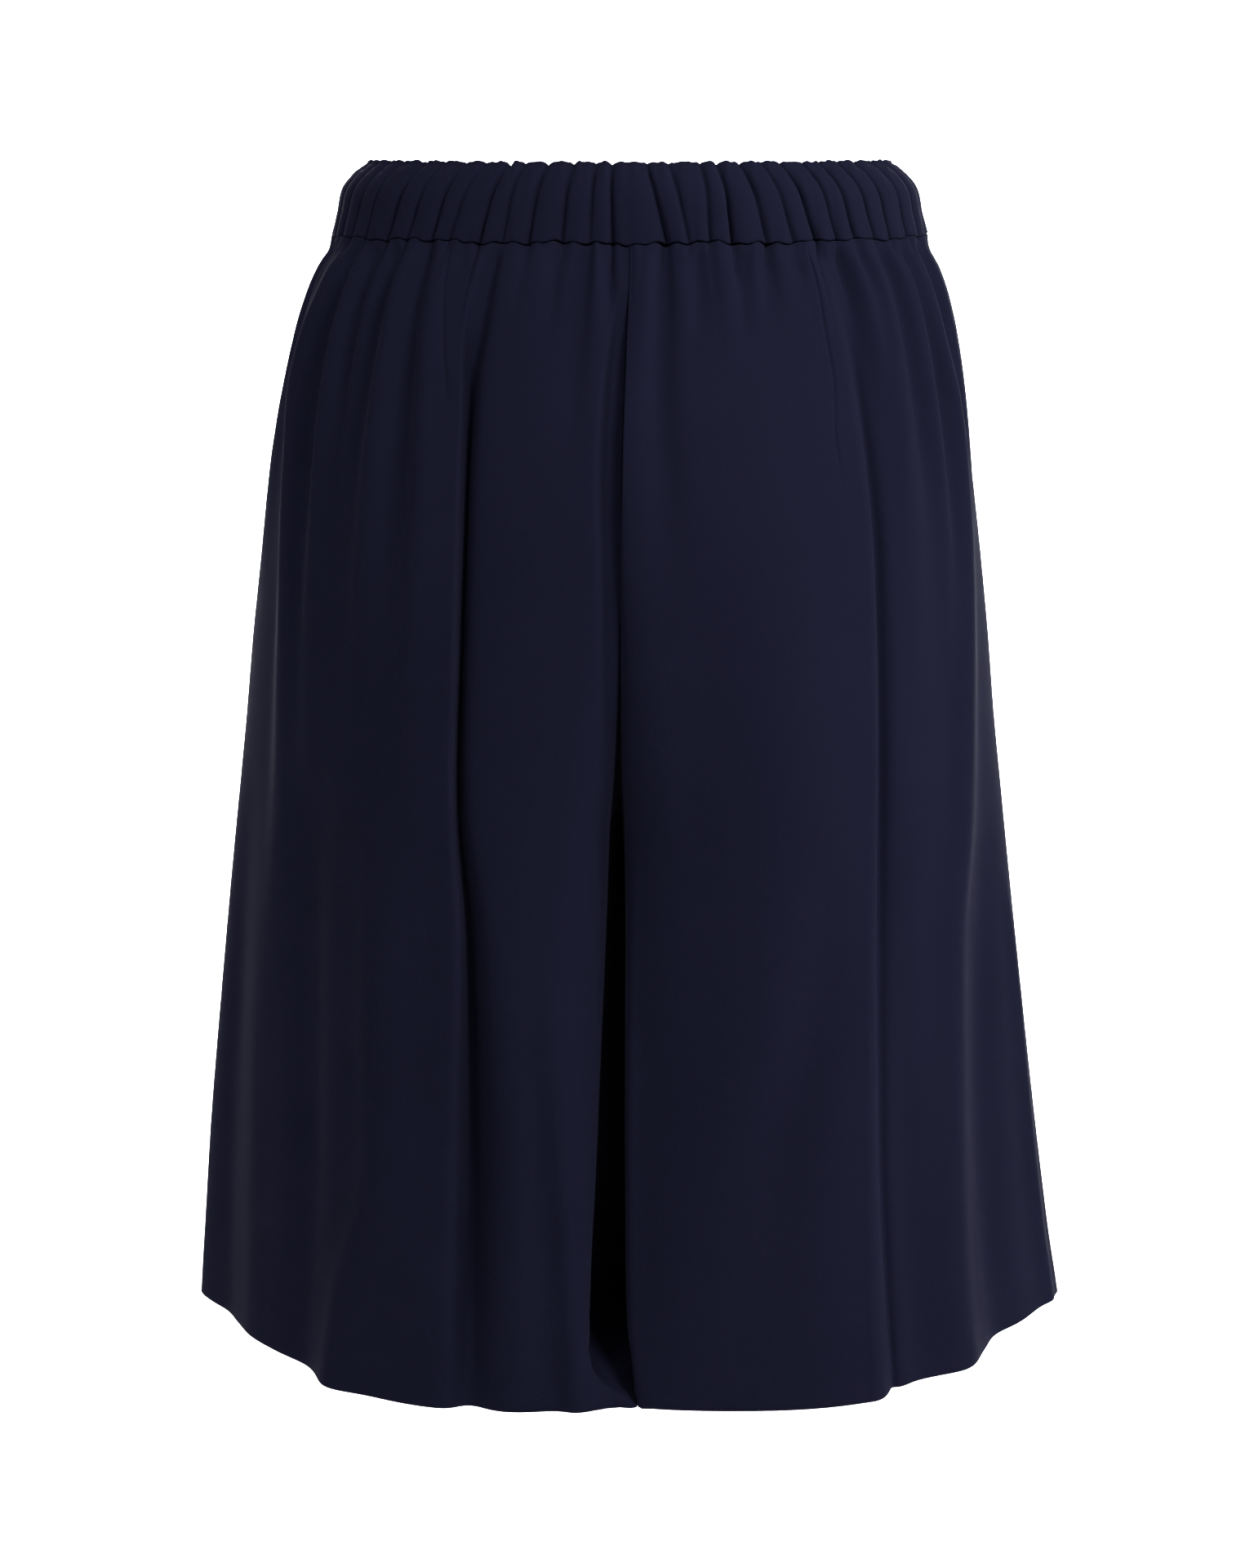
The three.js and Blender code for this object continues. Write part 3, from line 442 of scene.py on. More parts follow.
FRONT_LEFT_FOLDS = [
    (ROLL, [(-18, .90, 2.0, 7, 4), (-50, .905, 2.4, 8, 5), (-110, .92, 0, 9, 6)]),
    (ROLL, [(-18, .77, 2.4, 9, 4), (-60, .785, 3.0, 10, 4), (-150, .78, 2.0, 12, 8),
            (-260, .75, 0, 14, 10)]),
    (ROLL, [(-18, .64, 2.0, 8, 4), (-60, .635, 2.6, 9, 4), (-130, .63, 1.4, 10, 6),
            (-200, .62, 0, 12, 8)]),
    (ROLL, [(-18, .49, 1.8, 8, 4), (-60, .48, 2.2, 8, 4), (-120, .47, 1.0, 9, 6),
            (-170, .46, 0, 10, 8)]),
    (ROLL, [(-18, .40, -1.6, 3, 5), (-45, .395, 0, 4, 6)]),
    (ROLL, [(-18, .33, -2.0, 4, 6), (-60, .32, -1.4, 5, 7), (-120, .31, 0, 6, 8)]),
    (ROLL, [(-18, .25, -1.4, 3, 4), (-40, .245, 0, 4, 5)]),
    (ROLL, [(-18, .18, -1.8, 4, 5), (-50, .175, -1.2, 4, 6), (-90, .17, 0, 5, 6)]),
    (ROLL, [(-18, .09, -1.5, 3, 5), (-60, .09, 0, 4, 6)]),
    (ROLL, [(-60, .44, 0, 14, 14), (-160, .43, 3.0, 15, 14), (-300, .42, 5.0, 16, 14),
            (-537, .40, 6.0, 17, 14)]),
    (ROLL, [(-220, .72, 0, 20, 20), (-340, .71, -3.6, 22, 20), (-537, .68, -4.2, 22, 20)]),
]
FRONT_RIGHT_FOLDS = [
    (ROLL, [(-18, .88, 2.0, 7, 4), (-50, .89, 2.4, 8, 5), (-120, .90, 0, 9, 6)]),
    (ROLL, [(-18, .75, 2.4, 9, 4), (-60, .77, 3.0, 10, 4), (-160, .77, 2.2, 12, 8),
            (-290, .75, 0, 14, 10)]),
    (ROLL, [(-18, .66, 1.8, 8, 4), (-60, .66, 2.4, 9, 4), (-120, .655, 1.2, 10, 6),
            (-180, .65, 0, 12, 8)]),
    (ROLL, [(-18, .52, 2.0, 8, 4), (-60, .51, 2.6, 8, 4), (-130, .49, 1.2, 9, 6),
            (-190, .48, 0, 10, 8)]),
    (ROLL, [(-18, .43, -1.5, 3, 5), (-48, .425, 0, 4, 6)]),
    (ROLL, [(-18, .35, -2.0, 4, 6), (-60, .34, -1.2, 5, 7), (-110, .33, 0, 6, 8)]),
    (ROLL, [(-18, .24, -1.5, 3, 5), (-44, .235, 0, 4, 5)]),
    (ROLL, [(-18, .15, -1.8, 4, 5), (-48, .15, -1.0, 4, 6), (-80, .14, 0, 5, 6)]),
    (ROLL, [(-18, .07, -1.4, 3, 4), (-52, .07, 0, 4, 6)]),
    (ROLL, [(-80, .41, 0, 14, 14), (-180, .42, 3.0, 15, 14), (-320, .435, 5.0, 16, 14),
            (-537, .45, 6.0, 17, 14)]),
    (ROLL, [(-240, .70, 0, 20, 20), (-360, .72, -3.4, 22, 20), (-537, .71, -4.2, 22, 20)]),
]
FOLD_NAMES = ("z", "at", "high", "inward", "outward")
FOLD_MARGIN = 2.0
LAP_LEAN, LEAN_SPREAD = 0.55, 2.2
LAP_REACH = 26.0
RIDGE_LEAST = 6.5

# Darts: path of the stitching line as height and share, with depth and half width of its groove
DARTS = {
    "back_left": [(-18, .438), (-32, .424), (-52, .396), (-68, .376), (-82, .357), (-96, .338)],
    "back_right": [(-18, .438), (-50, .427), (-78, .430), (-100, .416), (-124, .419)],
}
DART_DEPTH, DART_WIDTH, DART_END = 0.7, 0.8, 20.0


def fold_shift(folds, share, girth, z):
    """How far the folds move the cloth out, sideways towards the side seam, and straight in."""
    out = np.zeros_like(share)
    sunk = np.zeros_like(share)
    sideways = np.zeros_like(share)
    for kind, path in folds:
        path = np.array(path, float)
        at, high, inward, outward = (column(path, FOLD_NAMES, name, z) for name in FOLD_NAMES[1:])
        high = high * (z <= path[0, 0] + FOLD_MARGIN) * (z >= path[-1, 0] - FOLD_MARGIN)
        off = (share - at) * girth
        if kind == ROLL:
            reach = np.where(off < 0, inward, outward)
            reach = np.where(high > 0, np.maximum(reach, RIDGE_LEAST), reach)
            out += high * np.exp(-(off / reach) ** 2)
        elif kind == LAP:
            reach = (inward + outward) / 2
            out += high * 0.5 * np.tanh(off / reach) * np.exp(-np.abs(off) / LAP_REACH)
            sideways -= high * LAP_LEAN * np.exp(-(off / (LEAN_SPREAD * reach)) ** 2) * off / reach
        else:
            power = 4 if kind == SINK else 2
            sunk += high * np.exp(-np.abs(off / np.where(off < 0, inward, outward)) ** power)
    return out, sideways, sunk


# Gathers and puckers along the waist seam
PUCKER_HEIGHT, PUCKER_REACH, PUCKER_LENGTHS = 0.35, 9.0, (5.3, 7.9, 12.7, 19.0)
GATHER_HEIGHT, GATHER_REACH = 2.4, 14.0
SEAM_WANDER, WANDER_LENGTHS = 0.9, (61.0, 23.0, 9.0)


def seam_wander(face, x):
    """How far the waist seam wanders up and down at a place across the shorts."""
    return SEAM_WANDER * ripple(x, 41 + face, WANDER_LENGTHS)


# The casing's creases and the soft pillows between them
PILLOW_POWER = 0.42
SMALL_CREASES = 26
END_CREASE, END_DEPTH = 1.04, 1.4


def face_creases(face):
    """The main creases of one half of the casing, from the wearer's left to right."""
    creases = CREASES * [-face, -face, 1, 1]
    return creases[np.argsort(creases[:, 0])]


def small_creases(face):
    """Fine creases between the main ones, at seeded places: place at top and bottom, depth."""
    draw = np.random.default_rng(90 + face)
    places = np.sort(draw.uniform(-0.95, 0.95, SMALL_CREASES))
    lean = draw.uniform(-0.012, 0.012, SMALL_CREASES)
    deep = draw.uniform(0.2, 0.6, (2, SMALL_CREASES))
    return np.stack([places, places + lean, deep[0], deep[1]], axis=1)


def way_down(z):
    """Share of the way from the casing's top edge down to the waist seam."""
    return (BAND_TOP - z) / (BAND_TOP - BAND_BOTTOM)


def crease_line(crease, down):
    """Place and depth of a crease at a share of the way down the casing."""
    return (crease[0] * (1 - down) + crease[1] * down,
            crease[2] * (1 - down) + crease[3] * down)


def casing_height(share, z, creases):
    """How far the gathered casing stands back at its creases."""
    at, deep = crease_line(creases.T[:, :, None, None], way_down(z))
    ends = np.ones((1,) + share.shape)
    at = np.concatenate([-END_CREASE * ends, at, END_CREASE * ends])
    deep = np.concatenate([END_DEPTH * ends, deep, END_DEPTH * ends])
    height = np.zeros_like(share)
    for k in range(len(at) - 1):
        part = (share - at[k]) / (at[k + 1] - at[k])
        here = (part >= 0) & (part < 1)
        part = np.clip(part, 0, 1)
        pillow = (4 * part * (1 - part)) ** PILLOW_POWER
        base = deep[k] * (1 - part) + deep[k + 1] * part
        height = np.where(here, -base * (1 - pillow), height)
    return height


# Columns of a panel, on the inner side of the corner and outside it, chosen from finer samples of
# each row. How much closer and how far around they crowd at the corner, at laps and at the dart.
INNER_COLUMNS, OUTER_COLUMNS = 62, 150
SAMPLES, INNER_SAMPLES = 520, 190
CORNER_CROWD, CORNER_REACH = 1.2, 8.0
LAP_CROWD, LAP_CROWD_REACH = 5.0, 3.0
DART_CROWD, DART_CROWD_REACH = 3.0, 2.0

# Folds fade towards the seams, start low at the waist seam, and sinks end inside the cleft
SIDE_FADE, CENTRE_FADE = 16.0, 3.0
WAIST_START, WAIST_START_REACH = 0.3, 9.0
SINK_INSIDE = 0.7


def summed(lengths):
    """Running sums along each row, from 0."""
    return np.concatenate([np.zeros((len(lengths), 1)), np.cumsum(lengths, axis=1)], axis=1)


def off_path(path, z, share, girth):
    """Distance across the cloth from a path of heights and shares."""
    path = np.array(path, float)
    return (share - np.interp(-z, -path[:, 0], path[:, 1])) * girth


def crowding(name, folds):
    """Paths that the columns of a panel are drawn towards: its laps and its dart."""
    paths = [([row[:2] for row in path], LAP_CROWD, LAP_CROWD_REACH) for kind, path in folds if kind == LAP]
    if name in DARTS:
        paths.append((DARTS[name], DART_CROWD, DART_CROWD_REACH))
    return paths


def smooth_panel(name, leg, face, folds):
    """The outer side of a panel without folds, on rows and columns that suit them: points, height
    on the form, share of the half girth and depth inside the oval."""
    centre, side = row_heights()
    way = np.linspace(0, 1, SAMPLES)
    z = centre[:, None] + (side - centre)[:, None] * ease(0, 1, way)[None, :]
    steps = np.arange(SAMPLES)
    inner = np.clip(steps / (INNER_SAMPLES - 1), 0, 1)[None, :] + 0 * z
    outer = np.clip((steps - INNER_SAMPLES + 1) / (SAMPLES - INNER_SAMPLES), 0, 1)[None, :] + 0 * z
    points, share, inside = bare_cloth(leg, face, z, inner, outer)
    inside = np.where(outer > 0, 0, inside)
    lengths = np.linalg.norm(np.diff(points, axis=1), axis=-1)
    along = summed(lengths)
    crowd = 1 + CORNER_CROWD * ease(0, CORNER_REACH, inside)
    for path, extra, reach in crowding(name, folds):
        crowd += extra * np.exp(-(off_path(path, z, share, BODY_FORMS[face].girth(z)) / reach) ** 2)
    spent = summed((crowd[:, 1:] + crowd[:, :-1]) / 2 * lengths)
    taken = []
    for i in range(len(z)):
        first, last = np.interp([SEAM_TURN, along[i, -1] - SEAM_TURN], along[i], spent[i])
        corner = spent[i, INNER_SAMPLES - 1]
        wanted = np.concatenate([np.linspace(first, corner, INNER_COLUMNS + 1)[:-1],
                                 np.linspace(corner, last, OUTER_COLUMNS)])
        where = np.interp(wanted, spent[i], steps)
        taken.append([np.interp(where, steps, values) for values in
                      (*points[i].T, z[i], share[i], inside[i])])
    x, y, height, z, share, inside = np.moveaxis(np.array(taken), 1, 0)
    return np.stack([x, y, height], axis=-1), z, share, inside


def folded_panel(name, leg, face, folds):
    """The outer side of a panel with its folds, dart and gathers, its edges not yet turned."""
    points, z, share, inside = smooth_panel(name, leg, face, folds)
    girth = BODY_FORMS[face].girth(z)
    across = unit(np.gradient(points, axis=1))
    out = facing(points, leg, face)
    wander = seam_wander(face, points[..., 0])
    lift, sideways, sunk = fold_shift(folds, share, girth, z)
    if name in DARTS:
        depth = DART_DEPTH * ease(DARTS[name][-1][0], DARTS[name][-1][0] + DART_END, z)
        lift -= depth * np.exp(-(off_path(DARTS[name], z, share, girth) / DART_WIDTH) ** 2)
    near = ease(0, CENTRE_FADE, share * girth) * (1 - ease(0, body("deep", z), inside))
    away = ease(0, SIDE_FADE, (1 - share) * girth)
    below = PANEL_TOP - z
    lift = lift * near * away * (WAIST_START + (1 - WAIST_START) * ease(0, WAIST_START_REACH, below))
    pucker = ripple(leg * share * girth, 7 + leg + 3 * face, PUCKER_LENGTHS)
    lift += PUCKER_HEIGHT * pucker * np.exp(-below / PUCKER_REACH) * away
    gathers = casing_height(leg * share, BAND_BOTTOM + 0 * z, face_creases(face))
    lift += GATHER_HEIGHT * gathers * np.exp(-below / GATHER_REACH) * away
    points = points + out * lift[..., None] + across * (sideways * near * away)[..., None]
    points[..., 2] += wander * np.exp(-below / PUCKER_REACH)
    points[..., 1] -= face * sunk * (1 - ease(0, SINK_INSIDE * body("deep", z), inside))
    return points


def outer_side(leg, face):
    """Which way round the grid of a panel shows its outer side."""
    return 1 if leg * face < 0 else -1


def facing(points, leg, face):
    """Directions that face out of the cloth."""
    across = np.gradient(points, axis=1)
    down = np.gradient(points, axis=0)
    return unit(np.cross(down, across)) * outer_side(leg, face)


UP = np.array([0.0, 0.0, 1.0])
LEVEL = np.array([1.0, 1.0, 0.0])
SIDEWAYS = np.array([1.0, 0.0, 0.0])
QUARTER = [math.radians(a) for a in (18, 36, 54, 72, 90)]
HALF = [math.radians(a) for a in (22, 45, 67, 90, 113, 135, 158, 180)]


def turned(point, off, out, radius, angles):
    """The cloth turning under at an edge, from flat to pointing inwards."""
    return [point + off * radius * math.sin(a) - out * radius * (1 - math.cos(a)) for a in angles]


def flush(strips, edge, off, folded):
    """Where the cloth is folded double, its side edge ends flush and isn't turned in."""
    return [np.where(folded, edge + off * FLUSH_STEP * (k + 1), strip) for k, strip in enumerate(strips)]


def framed(rows, blocks):
    """The rows with a block of turned strips at each end."""
    first, last = (np.stack(strips, axis=1) for strips in blocks)
    return np.concatenate([first[:, ::-1], rows, last], axis=1)


def finish_panel(points, leg, face):
    """Turns the top edge and the hem under, and both seam edges in, with their allowances."""
    out = facing(points, leg, face)
    level = unit(out * LEVEL)
    top = turned(points[0], UP, level[0], WAIST_TURN, QUARTER)
    top += [top[-1] - level[0] * WAIST_ALLOWANCE]
    hem = turned(points[-1], -UP, level[-1], HEM_TURN, HALF)
    inside = [i for i in range(len(points) - 2, 0, -1) if points[i, -1, 2] < HEM + HEM_DEPTH]
    turn_up = [points[i] - out[i] * 2 * HEM_TURN for i in inside]
    rows = np.array(list(reversed(top)) + list(points) + hem + turn_up)
    outs = np.array([level[0]] * len(top) + list(out) + [level[-1]] * len(hem) + [out[i] for i in inside])
    folded = np.array([False] * (len(top) + len(points)) + [True] * (len(hem) + len(turn_up)))[:, None]
    blocks = []
    for end, beside in ((0, 1), (-1, -2)):
        edge, out_here = rows[:, end], outs[:, end]
        off = unit(edge - rows[:, beside])
        off = unit(off - out_here * np.sum(off * out_here, axis=-1, keepdims=True))
        strips = turned(edge, off, out_here, SEAM_TURN, QUARTER)
        strips += [strips[-1] - out_here * d for d in (FIRST_STITCH, SEAM_ALLOWANCE)]
        strips = flush(strips, edge, off, folded)
        strips = [settle_seam(strip, leg, face, end) for strip in strips]
        if end == 0:
            above = (edge[:, 2] > CROTCH)[:, None]
            strips = [np.where(above, b, a) for a, b in zip(strips, centre_seam(edge, leg, face))]
        blocks.append(strips)
    return framed(rows, blocks)


def centre_seam(edge, leg, face):
    """The centre seam above the crotch: the edge turns into the seam's plane and lies in it."""
    z = edge[:, 2]
    slope = seam_depth(z + 0.5, SEAT_DEPTH) - seam_depth(z - 0.5, SEAT_DEPTH)
    inward = unit(np.stack([0 * z, -face + 0 * z, slope], axis=-1))
    seam_x = leg * SEAM_SHUT + body("sway", z)
    strips = []
    for angle in QUARTER:
        strip = edge + inward * SEAM_TURN * (1 - math.cos(angle))
        strip[:, 0] = edge[:, 0] * (1 - math.sin(angle)) + seam_x * math.sin(angle)
        strips.append(strip)
    return strips + [strips[-1] + inward * d for d in (FIRST_STITCH, SEAM_ALLOWANCE)]


def settle_seam(strip, leg, face, end):
    """Keeps a seam edge on its own side of the seam."""
    strip = strip.copy()
    own_face = face * np.maximum(face * strip[:, 1], SEAM_SHUT)
    if end != 0:
        strip[:, 1] = own_face
        return strip
    below = strip[:, 2] < CROTCH
    sway = body("sway", strip[:, 2])
    x = leg * (strip[:, 0] - sway)
    strip[:, 0] = np.where(below, strip[:, 0], leg * np.maximum(x, SEAM_SHUT) + sway)
    strip[:, 1] = np.where(below, strip[:, 1], own_face)
    return strip


def shell(name, grid, side, material):
    """A closed thin shell of cloth from the points of its outer side, in millimetres."""
    high, wide = grid.shape[:2]
    across = np.gradient(grid, axis=1)
    down = np.gradient(grid, axis=0)
    out = unit(np.cross(down, across)) * side
    points = np.concatenate([grid, grid - out * CLOTH]).reshape(-1, 3)
    index = np.arange(high * wide).reshape(high, wide)
    behind = index + high * wide

    def quads(a, b, c, d):
        return np.stack([a, b, c, d], axis=-1).reshape(-1, 4)

    faces = np.concatenate([
        quads(index[:-1, :-1], index[1:, :-1], index[1:, 1:], index[:-1, 1:]),
        quads(behind[:-1, :-1], behind[:-1, 1:], behind[1:, 1:], behind[1:, :-1]),
        quads(index[0, :-1], index[0, 1:], behind[0, 1:], behind[0, :-1]),
        quads(index[-1, :-1], behind[-1, :-1], behind[-1, 1:], index[-1, 1:]),
        quads(index[:-1, 0], behind[:-1, 0], behind[1:, 0], index[1:, 0]),
        quads(index[:-1, -1], index[1:, -1], behind[1:, -1], behind[:-1, -1]),
    ])
    if side < 0:
        faces = faces[:, ::-1]
    mesh = bpy.data.meshes.new(name)
    mesh.from_pydata((points * MM).tolist(), [], faces.tolist())
    u = np.cumsum(np.linalg.norm(across, axis=-1), axis=1)
    v = np.cumsum(np.linalg.norm(down, axis=-1), axis=0)
    u -= u[:, wide // 2:wide // 2 + 1]
    v -= v[high // 2:high // 2 + 1, :]
    places = np.stack([u, v], axis=-1).reshape(-1, 2) * MM
    places = np.concatenate([places, places])
    layer = mesh.uv_layers.new(name="cloth")
    corners = np.zeros(len(mesh.loops), int)
    mesh.loops.foreach_get("vertex_index", corners)
    layer.data.foreach_set("uv", places[corners].reshape(-1))
    mesh.polygons.foreach_set("use_smooth", np.ones(len(mesh.polygons), bool))
    mesh.materials.append(material)
    mesh.validate()
    mesh.update()
    piece = bpy.data.objects.new(name, mesh)
    bpy.context.scene.collection.objects.link(piece)
    return piece


# The waistband's grid: its columns crowd at the creases and lean with them
BAND_ROWS, BAND_COLUMNS_ACROSS, BAND_SAMPLES = 30, 370, 1600
HALF_GIRTH = 188.0
CREASE_CROWD, CREASE_CROWD_REACH = 2.2, 1.6
CREASE_LEAN, CREASE_LEAN_REACH = 0.8, 0.035

# Its relief: pillows that deepen downwards, narrow and small creases, ripples at both edges, a
# swell in the middle, a scalloped top edge, and side ends that dip
PILLOW_TOP, PILLOW_GROWTH = 1.25, 0.25
NARROW_CREASE, NARROW_WIDTH, NARROW_FADE = 0.75, 0.8, 0.85
SMALL_WIDTH = 1.5
BAND_END_FADE = 4.0
EDGE_RIPPLE, EDGE_RIPPLE_LENGTHS, EDGE_REACH = 0.28, (4.1, 6.7, 9.3), 5.0
RIPPLE_FROM, NARROW_FADE_FROM = 4.0, 11.0
BAND_SWELL = 0.5
SCALLOP, SCALLOP_LENGTHS, SCALLOP_PILLOW = 0.2, (3.7, 5.9), 0.03
BAND_SIDE_DIP = 2.0

# Its lower edge runs in behind the panels' upper edge and down there; its ends turn in
BAND_FLANGE, BAND_LIP, BAND_END_FLANGE = (1.6, 3.4, 5.4), (1.5, 4.0, 7.0), 1.2


def band_shares(creases):
    """Even shares of the half girth from side to side, closer together at the creases."""
    share = np.linspace(-1, 1, BAND_SAMPLES)
    crowd = np.ones_like(share)
    for crease in creases:
        off = (share - (crease[0] + crease[1]) / 2) * HALF_GIRTH
        crowd += CREASE_CROWD * np.exp(-(off / CREASE_CROWD_REACH) ** 2)
    return spread(share, crowd, BAND_COLUMNS_ACROSS)


def band_relief(share, z, girth, face):
    """How far the casing stands out from its form, and how far its top edge is scalloped."""
    down, place = way_down(z), share * girth
    creases = face_creases(face)
    pillows = casing_height(share, z, creases)
    lift = pillows * (PILLOW_TOP + PILLOW_GROWTH * down)
    fade = 1 - NARROW_FADE * ease(NARROW_FADE_FROM, BAND_TOP - BAND_FOLD, z)
    for crease in creases:
        at, depth = crease_line(crease, down)
        lift -= NARROW_CREASE * depth * np.exp(-((share - at) * girth / NARROW_WIDTH) ** 2) * fade
    for crease in small_creases(face):
        at, depth = crease_line(crease, down)
        lift -= depth * np.exp(-np.abs((share - at) * girth) / SMALL_WIDTH)
    away = ease(0, BAND_END_FADE, (1 - np.abs(share)) * girth)
    near_top = ease(RIPPLE_FROM, BAND_TOP, z)
    near_seam = np.exp(-(z - BAND_BOTTOM) / EDGE_REACH)
    lift += EDGE_RIPPLE * ripple(place, 51 + face, EDGE_RIPPLE_LENGTHS) * (near_top + near_seam)
    lift += BAND_SWELL * np.sin(math.pi * down)
    scallop = SCALLOP_PILLOW * pillows + SCALLOP * ripple(place, 61 + face, SCALLOP_LENGTHS)
    return lift * away, scallop * near_top ** 2 * away, near_seam


def gathered_band(face):
    """The outer side of half the waistband from its seam up to the top fold, and its facing."""
    form = BAND_FORMS[face]
    creases = face_creases(face)
    heights = np.linspace(BAND_BOTTOM + WAIST_TURN, BAND_TOP - BAND_FOLD, BAND_ROWS)
    end = 1 - SEAM_TURN / HALF_GIRTH
    z, share = np.meshgrid(heights, np.clip(band_shares(creases), -end, end), indexing="ij")
    drift = np.zeros_like(share)
    for crease in creases:
        lean = (crease[1] - crease[0]) * (way_down(z) - 0.5)
        drift += lean * np.exp(-((share - (crease[0] + crease[1]) / 2) / CREASE_LEAN_REACH) ** 2)
    share = np.clip(share + drift * CREASE_LEAN, -end, end)
    turn = form.turn(z, np.abs(share))
    x, y = form.place(z, turn)
    points = np.stack([np.sign(share) * x, face * y, z - waist_drop(face, turn)], axis=-1)
    wander = seam_wander(face, points[..., 0])
    out = unit(np.cross(np.gradient(points, axis=1), np.gradient(points, axis=0))) * -face
    lift, scallop, near_seam = band_relief(share, z, form.girth(z), face)
    points = points + out * lift[..., None]
    points[..., 2] += scallop - BAND_SIDE_DIP * share ** 4 * np.clip(z, 0, None) / BAND_TOP
    points[..., 2] += wander * near_seam
    return points, out


def finish_band(points, out, face):
    """Turns the seam edge in and down, folds the top over and down inside, and turns the ends in."""
    level = unit(out * LEVEL)
    bottom = turned(points[0], -UP, level[0], WAIST_TURN, QUARTER)
    bottom += [bottom[-1] - level[0] * d for d in BAND_FLANGE]
    bottom += [bottom[-1] - UP * d for d in BAND_LIP]
    top = turned(points[-1], UP, level[-1], BAND_FOLD, HALF)
    inside = [p - o * 2 * BAND_FOLD for p, o in zip(points[::-1], out[::-1])][1:]
    rows = np.array(list(reversed(bottom)) + list(points) + top + inside)
    outs = np.array([level[0]] * len(bottom) + list(out) + [level[-1]] * len(top) + list(out[::-1])[1:])
    folded = np.array([False] * (len(bottom) + len(points)) + [True] * (len(top) + len(inside)))[:, None]
    off = np.zeros_like(rows[:, 0])
    off[:, 1] = -face
    blocks = []
    for end in (0, -1):
        edge, out_here = rows[:, end], unit(outs[:, end] * SIDEWAYS)
        strips = turned(edge, off, out_here, SEAM_TURN, QUARTER)
        strips += [strips[-1] - out_here * BAND_END_FLANGE]
        strips = flush(strips, edge, off, folded)
        for strip in strips:
            strip[:, 1] = face * np.maximum(face * strip[:, 1], SEAM_SHUT)
        blocks.append(strips)
    return framed(rows, blocks)


class Value:
    """A shader socket that takes part in sums: an expression on values adds its Math nodes."""

    def __init__(self, recipe, socket):
        self.recipe, self.socket = recipe, socket

    def math(self, operation, *values):
        return self.recipe.node("ShaderNodeMath", {"operation": operation}, dict(enumerate(values)))

    def __add__(self, other): return self.math("ADD", self, other)
    def __radd__(self, other): return self.math("ADD", other, self)
    def __mul__(self, other): return self.math("MULTIPLY", self, other)
    def __rmul__(self, other): return self.math("MULTIPLY", other, self)
    def sine(self): return self.math("SINE", self)


class Finish:
    """A material and the one way in which its nodes are added."""

    def __init__(self, name):
        self.material = bpy.data.materials.new(name)
        self.material.use_nodes = True
        self.tree = self.material.node_tree
        self.tree.nodes.clear()

    def node(self, kind, settings=None, sockets=None, output=0):
        made = self.tree.nodes.new(kind)
        for setting, value in (settings or {}).items():
            setattr(made, setting, value)
        for key, value in (sockets or {}).items():
            if isinstance(value, Value):
                self.tree.links.new(value.socket, made.inputs[key])
            else:
                made.inputs[key].default_value = value
        return Value(self, made.outputs[output]) if len(made.outputs) else None

    def mix(self, factor, first, second):
        """A colour between two; 6, 7 and 2 are the node's own sockets for colours."""
        return self.node("ShaderNodeMix", {"data_type": "RGBA"},
                         {"Factor": factor, 6: first, 7: second}, 2)


# Navy crepe: its deeper and lighter colour, and the spacing of its weave in metres
DEEP_NAVY, LIGHT_NAVY = (0.0093, 0.0097, 0.0234, 1), (0.0127, 0.0131, 0.0302, 1)
WEAVE_SPACING = 0.00062


def navy_crepe(name):
    """Matt woven crepe: a fine pebble over a faint weave, with a soft bluish sheen."""
    finish = Finish(name)
    place = finish.node("ShaderNodeTexCoord", output="Object")
    cloth = finish.node("ShaderNodeTexCoord", output="UV")
    pebble = finish.node("ShaderNodeTexNoise", None,
                         {"Vector": place, "Scale": 1300.0, "Detail": 2.0, "Roughness": 0.6})
    cloud = finish.node("ShaderNodeTexNoise", None,
                        {"Vector": place, "Scale": 14.0, "Detail": 3.0, "Roughness": 0.55})
    across, down = (finish.node("ShaderNodeSeparateXYZ", None, {"Vector": cloth}, axis) for axis in "XY")
    twist = 2 * math.pi / WEAVE_SPACING
    weave = (across * twist).sine() * (down * twist).sine()
    bump = finish.node("ShaderNodeBump", None,
                       {"Strength": 0.5, "Distance": 0.00009, "Height": pebble + 0.25 * weave})
    crepe = finish.node("ShaderNodeBsdfPrincipled", None, {
        "Base Color": finish.mix(0.35 * pebble + 0.65 * cloud, DEEP_NAVY, LIGHT_NAVY),
        "Roughness": 0.68 + 0.12 * pebble, "Specular IOR Level": 0.006,
        "Sheen Weight": 0.035, "Sheen Roughness": 0.42, "Sheen Tint": (0.62, 0.60, 1.0, 1.0),
        "Normal": bump})
    finish.node("ShaderNodeOutputMaterial", None, {"Surface": crepe})
    return finish.material


def floor_paint():
    """Pale matt paint."""
    finish = Finish("pale_floor")
    paint = finish.node("ShaderNodeBsdfPrincipled", None, {
        "Base Color": (0.86, 0.86, 0.87, 1.0), "Roughness": 0.9, "Specular IOR Level": 0.2})
    finish.node("ShaderNodeOutputMaterial", None, {"Surface": paint})
    return finish.material


CREPE = navy_crepe("woven_navy_crepe")

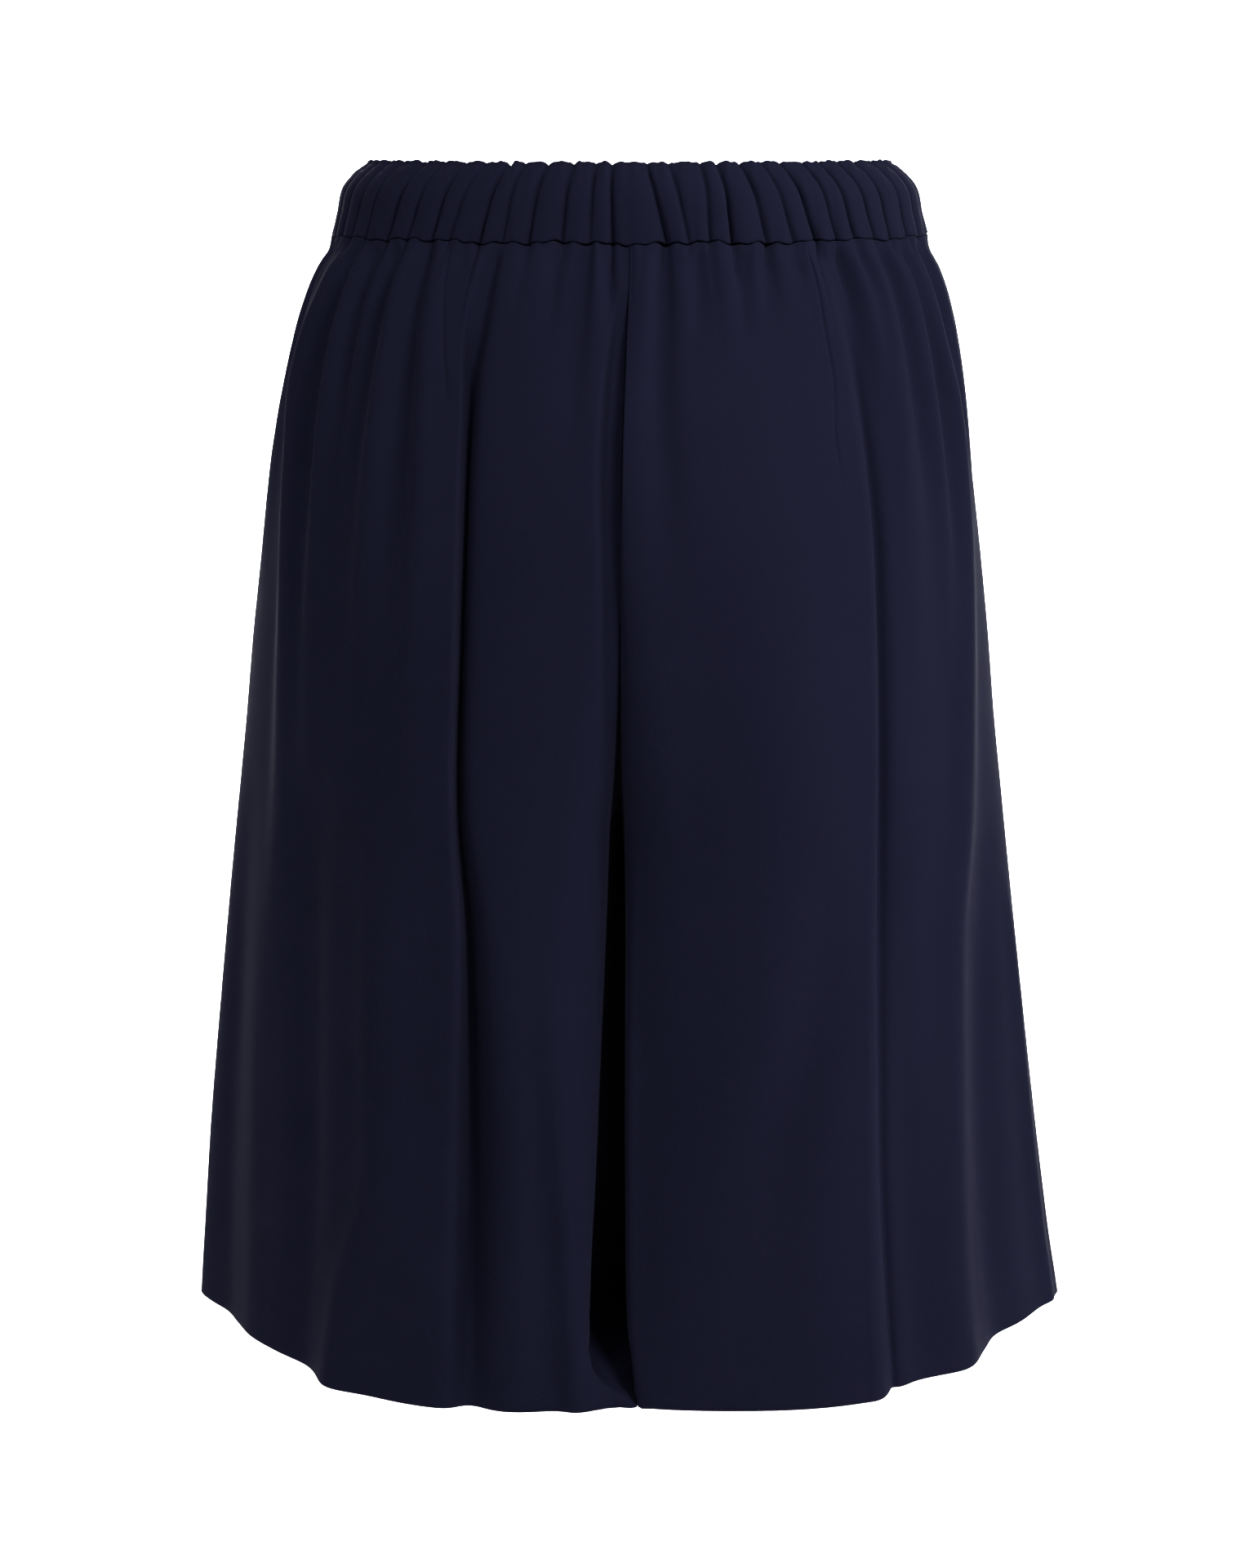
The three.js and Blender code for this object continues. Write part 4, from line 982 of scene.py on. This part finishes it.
PANELS = {
    "back_left": (LEFT, BACK, BACK_LEFT_FOLDS),
    "back_right": (RIGHT, BACK, BACK_RIGHT_FOLDS),
    "front_left": (LEFT, FRONT, FRONT_LEFT_FOLDS),
    "front_right": (RIGHT, FRONT, FRONT_RIGHT_FOLDS),
}
for name, (leg, face, folds) in PANELS.items():
    cloth = finish_panel(folded_panel(name, leg, face, folds), leg, face)
    piece = shell("cloth_" + name, cloth, outer_side(leg, face), CREPE)
    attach(piece, "root")
    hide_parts(name)
    0.205 if face == BACK else 0.185
    "waistband_back" if face == BACK else "waistband_front"

for name, face in (("waistband_back", BACK), ("waistband_front", FRONT)):
    casing = finish_band(*gathered_band(face), face)
    piece = shell("casing_" + name, casing, face, CREPE)
    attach(piece, "root")
    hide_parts(name)

# Floor that curves up into a pale wall, well below the shorts, at the height of a wearer's feet
FLOOR = -1.02
FLOOR_FRONT, WALL, WALL_TOP, HALF_WIDTH = -6.0, 3.4, 6.0, 7.0
CURVE = 1.4
profile = [(FLOOR_FRONT, FLOOR), (WALL - CURVE, FLOOR)]
profile += [(WALL - CURVE + CURVE * math.sin(a), FLOOR + CURVE * (1 - math.cos(a)))
            for a in np.linspace(0.05, math.pi / 2, 24)]
profile += [(WALL, WALL_TOP)]
floor_mesh = bpy.data.meshes.new("studio_floor")
floor_mesh.from_pydata([(x, y, z) for y, z in profile for x in (-HALF_WIDTH, HALF_WIDTH)], [],
                       [(2 * k, 2 * k + 1, 2 * k + 3, 2 * k + 2) for k in range(len(profile) - 1)])
floor_mesh.polygons.foreach_set("use_smooth", np.ones(len(floor_mesh.polygons), bool))
floor_mesh.materials.append(floor_paint())
floor = bpy.data.objects.new("studio_floor", floor_mesh)
bpy.context.scene.collection.objects.link(floor)

# Soft lights: where each stands, what it faces, its size, its watts and its spread in degrees
LIGHTS = {
    "right_window": ((2.0, -0.3, 0.35), (0.1, -0.05, -0.2), (0.9, 1.5), 24, 180),
    "left_window": ((-2.2, -0.2, -0.1), (-0.1, -0.05, -0.3), (0.8, 1.6), 2, 180),
    "key_above": ((0.8, -1.05, 1.05), (0.0, -0.1, -0.12), (0.5, 0.4), 16, 180),
    "fill_above": ((-0.7, -1.2, 1.1), (0.0, -0.1, -0.12), (0.7, 0.6), 7, 180),
    "wall_light_left": ((-2.0, 2.3, 2.4), (-0.4, 3.2, -0.6), (1.2, 0.8), 170, 74),
    "wall_light_right": ((2.0, 2.3, 2.4), (0.4, 3.2, -0.6), (1.2, 0.8), 170, 74),
}
for name, (place, aim, size, watts, spread_angle) in LIGHTS.items():
    lamp = bpy.data.lights.new(name, "AREA")
    lamp.shape = "RECTANGLE"
    lamp.size, lamp.size_y = size
    lamp.energy = watts
    lamp.spread = math.radians(spread_angle)
    stand = bpy.data.objects.new(name, lamp)
    stand.location = place
    stand.rotation_euler = (Vector(place) - Vector(aim)).to_track_quat("Z", "Y").to_euler()
    bpy.context.scene.collection.objects.link(stand)

world = bpy.data.worlds.new("studio_air")
world.use_nodes = True
world.node_tree.nodes["Background"].inputs["Color"].default_value = (1.0, 1.0, 1.0, 1.0)
world.node_tree.nodes["Background"].inputs["Strength"].default_value = 0.22
bpy.context.scene.world = world
bpy.context.scene.view_settings.view_transform = "Standard"

# The camera looks at the wearer's back from just above the waist, and down
LOOK_DOWN = 11.555
lens = bpy.data.cameras.new("studio_camera")
lens.sensor_fit = "VERTICAL"
lens.sensor_height = 36.0
lens.lens = 80.36
lens.clip_end = 50.0
camera = bpy.data.objects.new("studio_camera", lens)
camera.location = (-0.0012, -1.650, 0.0575)
camera.rotation_euler = (math.radians(90 - LOOK_DOWN), 0, 0)
bpy.context.scene.collection.objects.link(camera)
bpy.context.scene.camera = camera
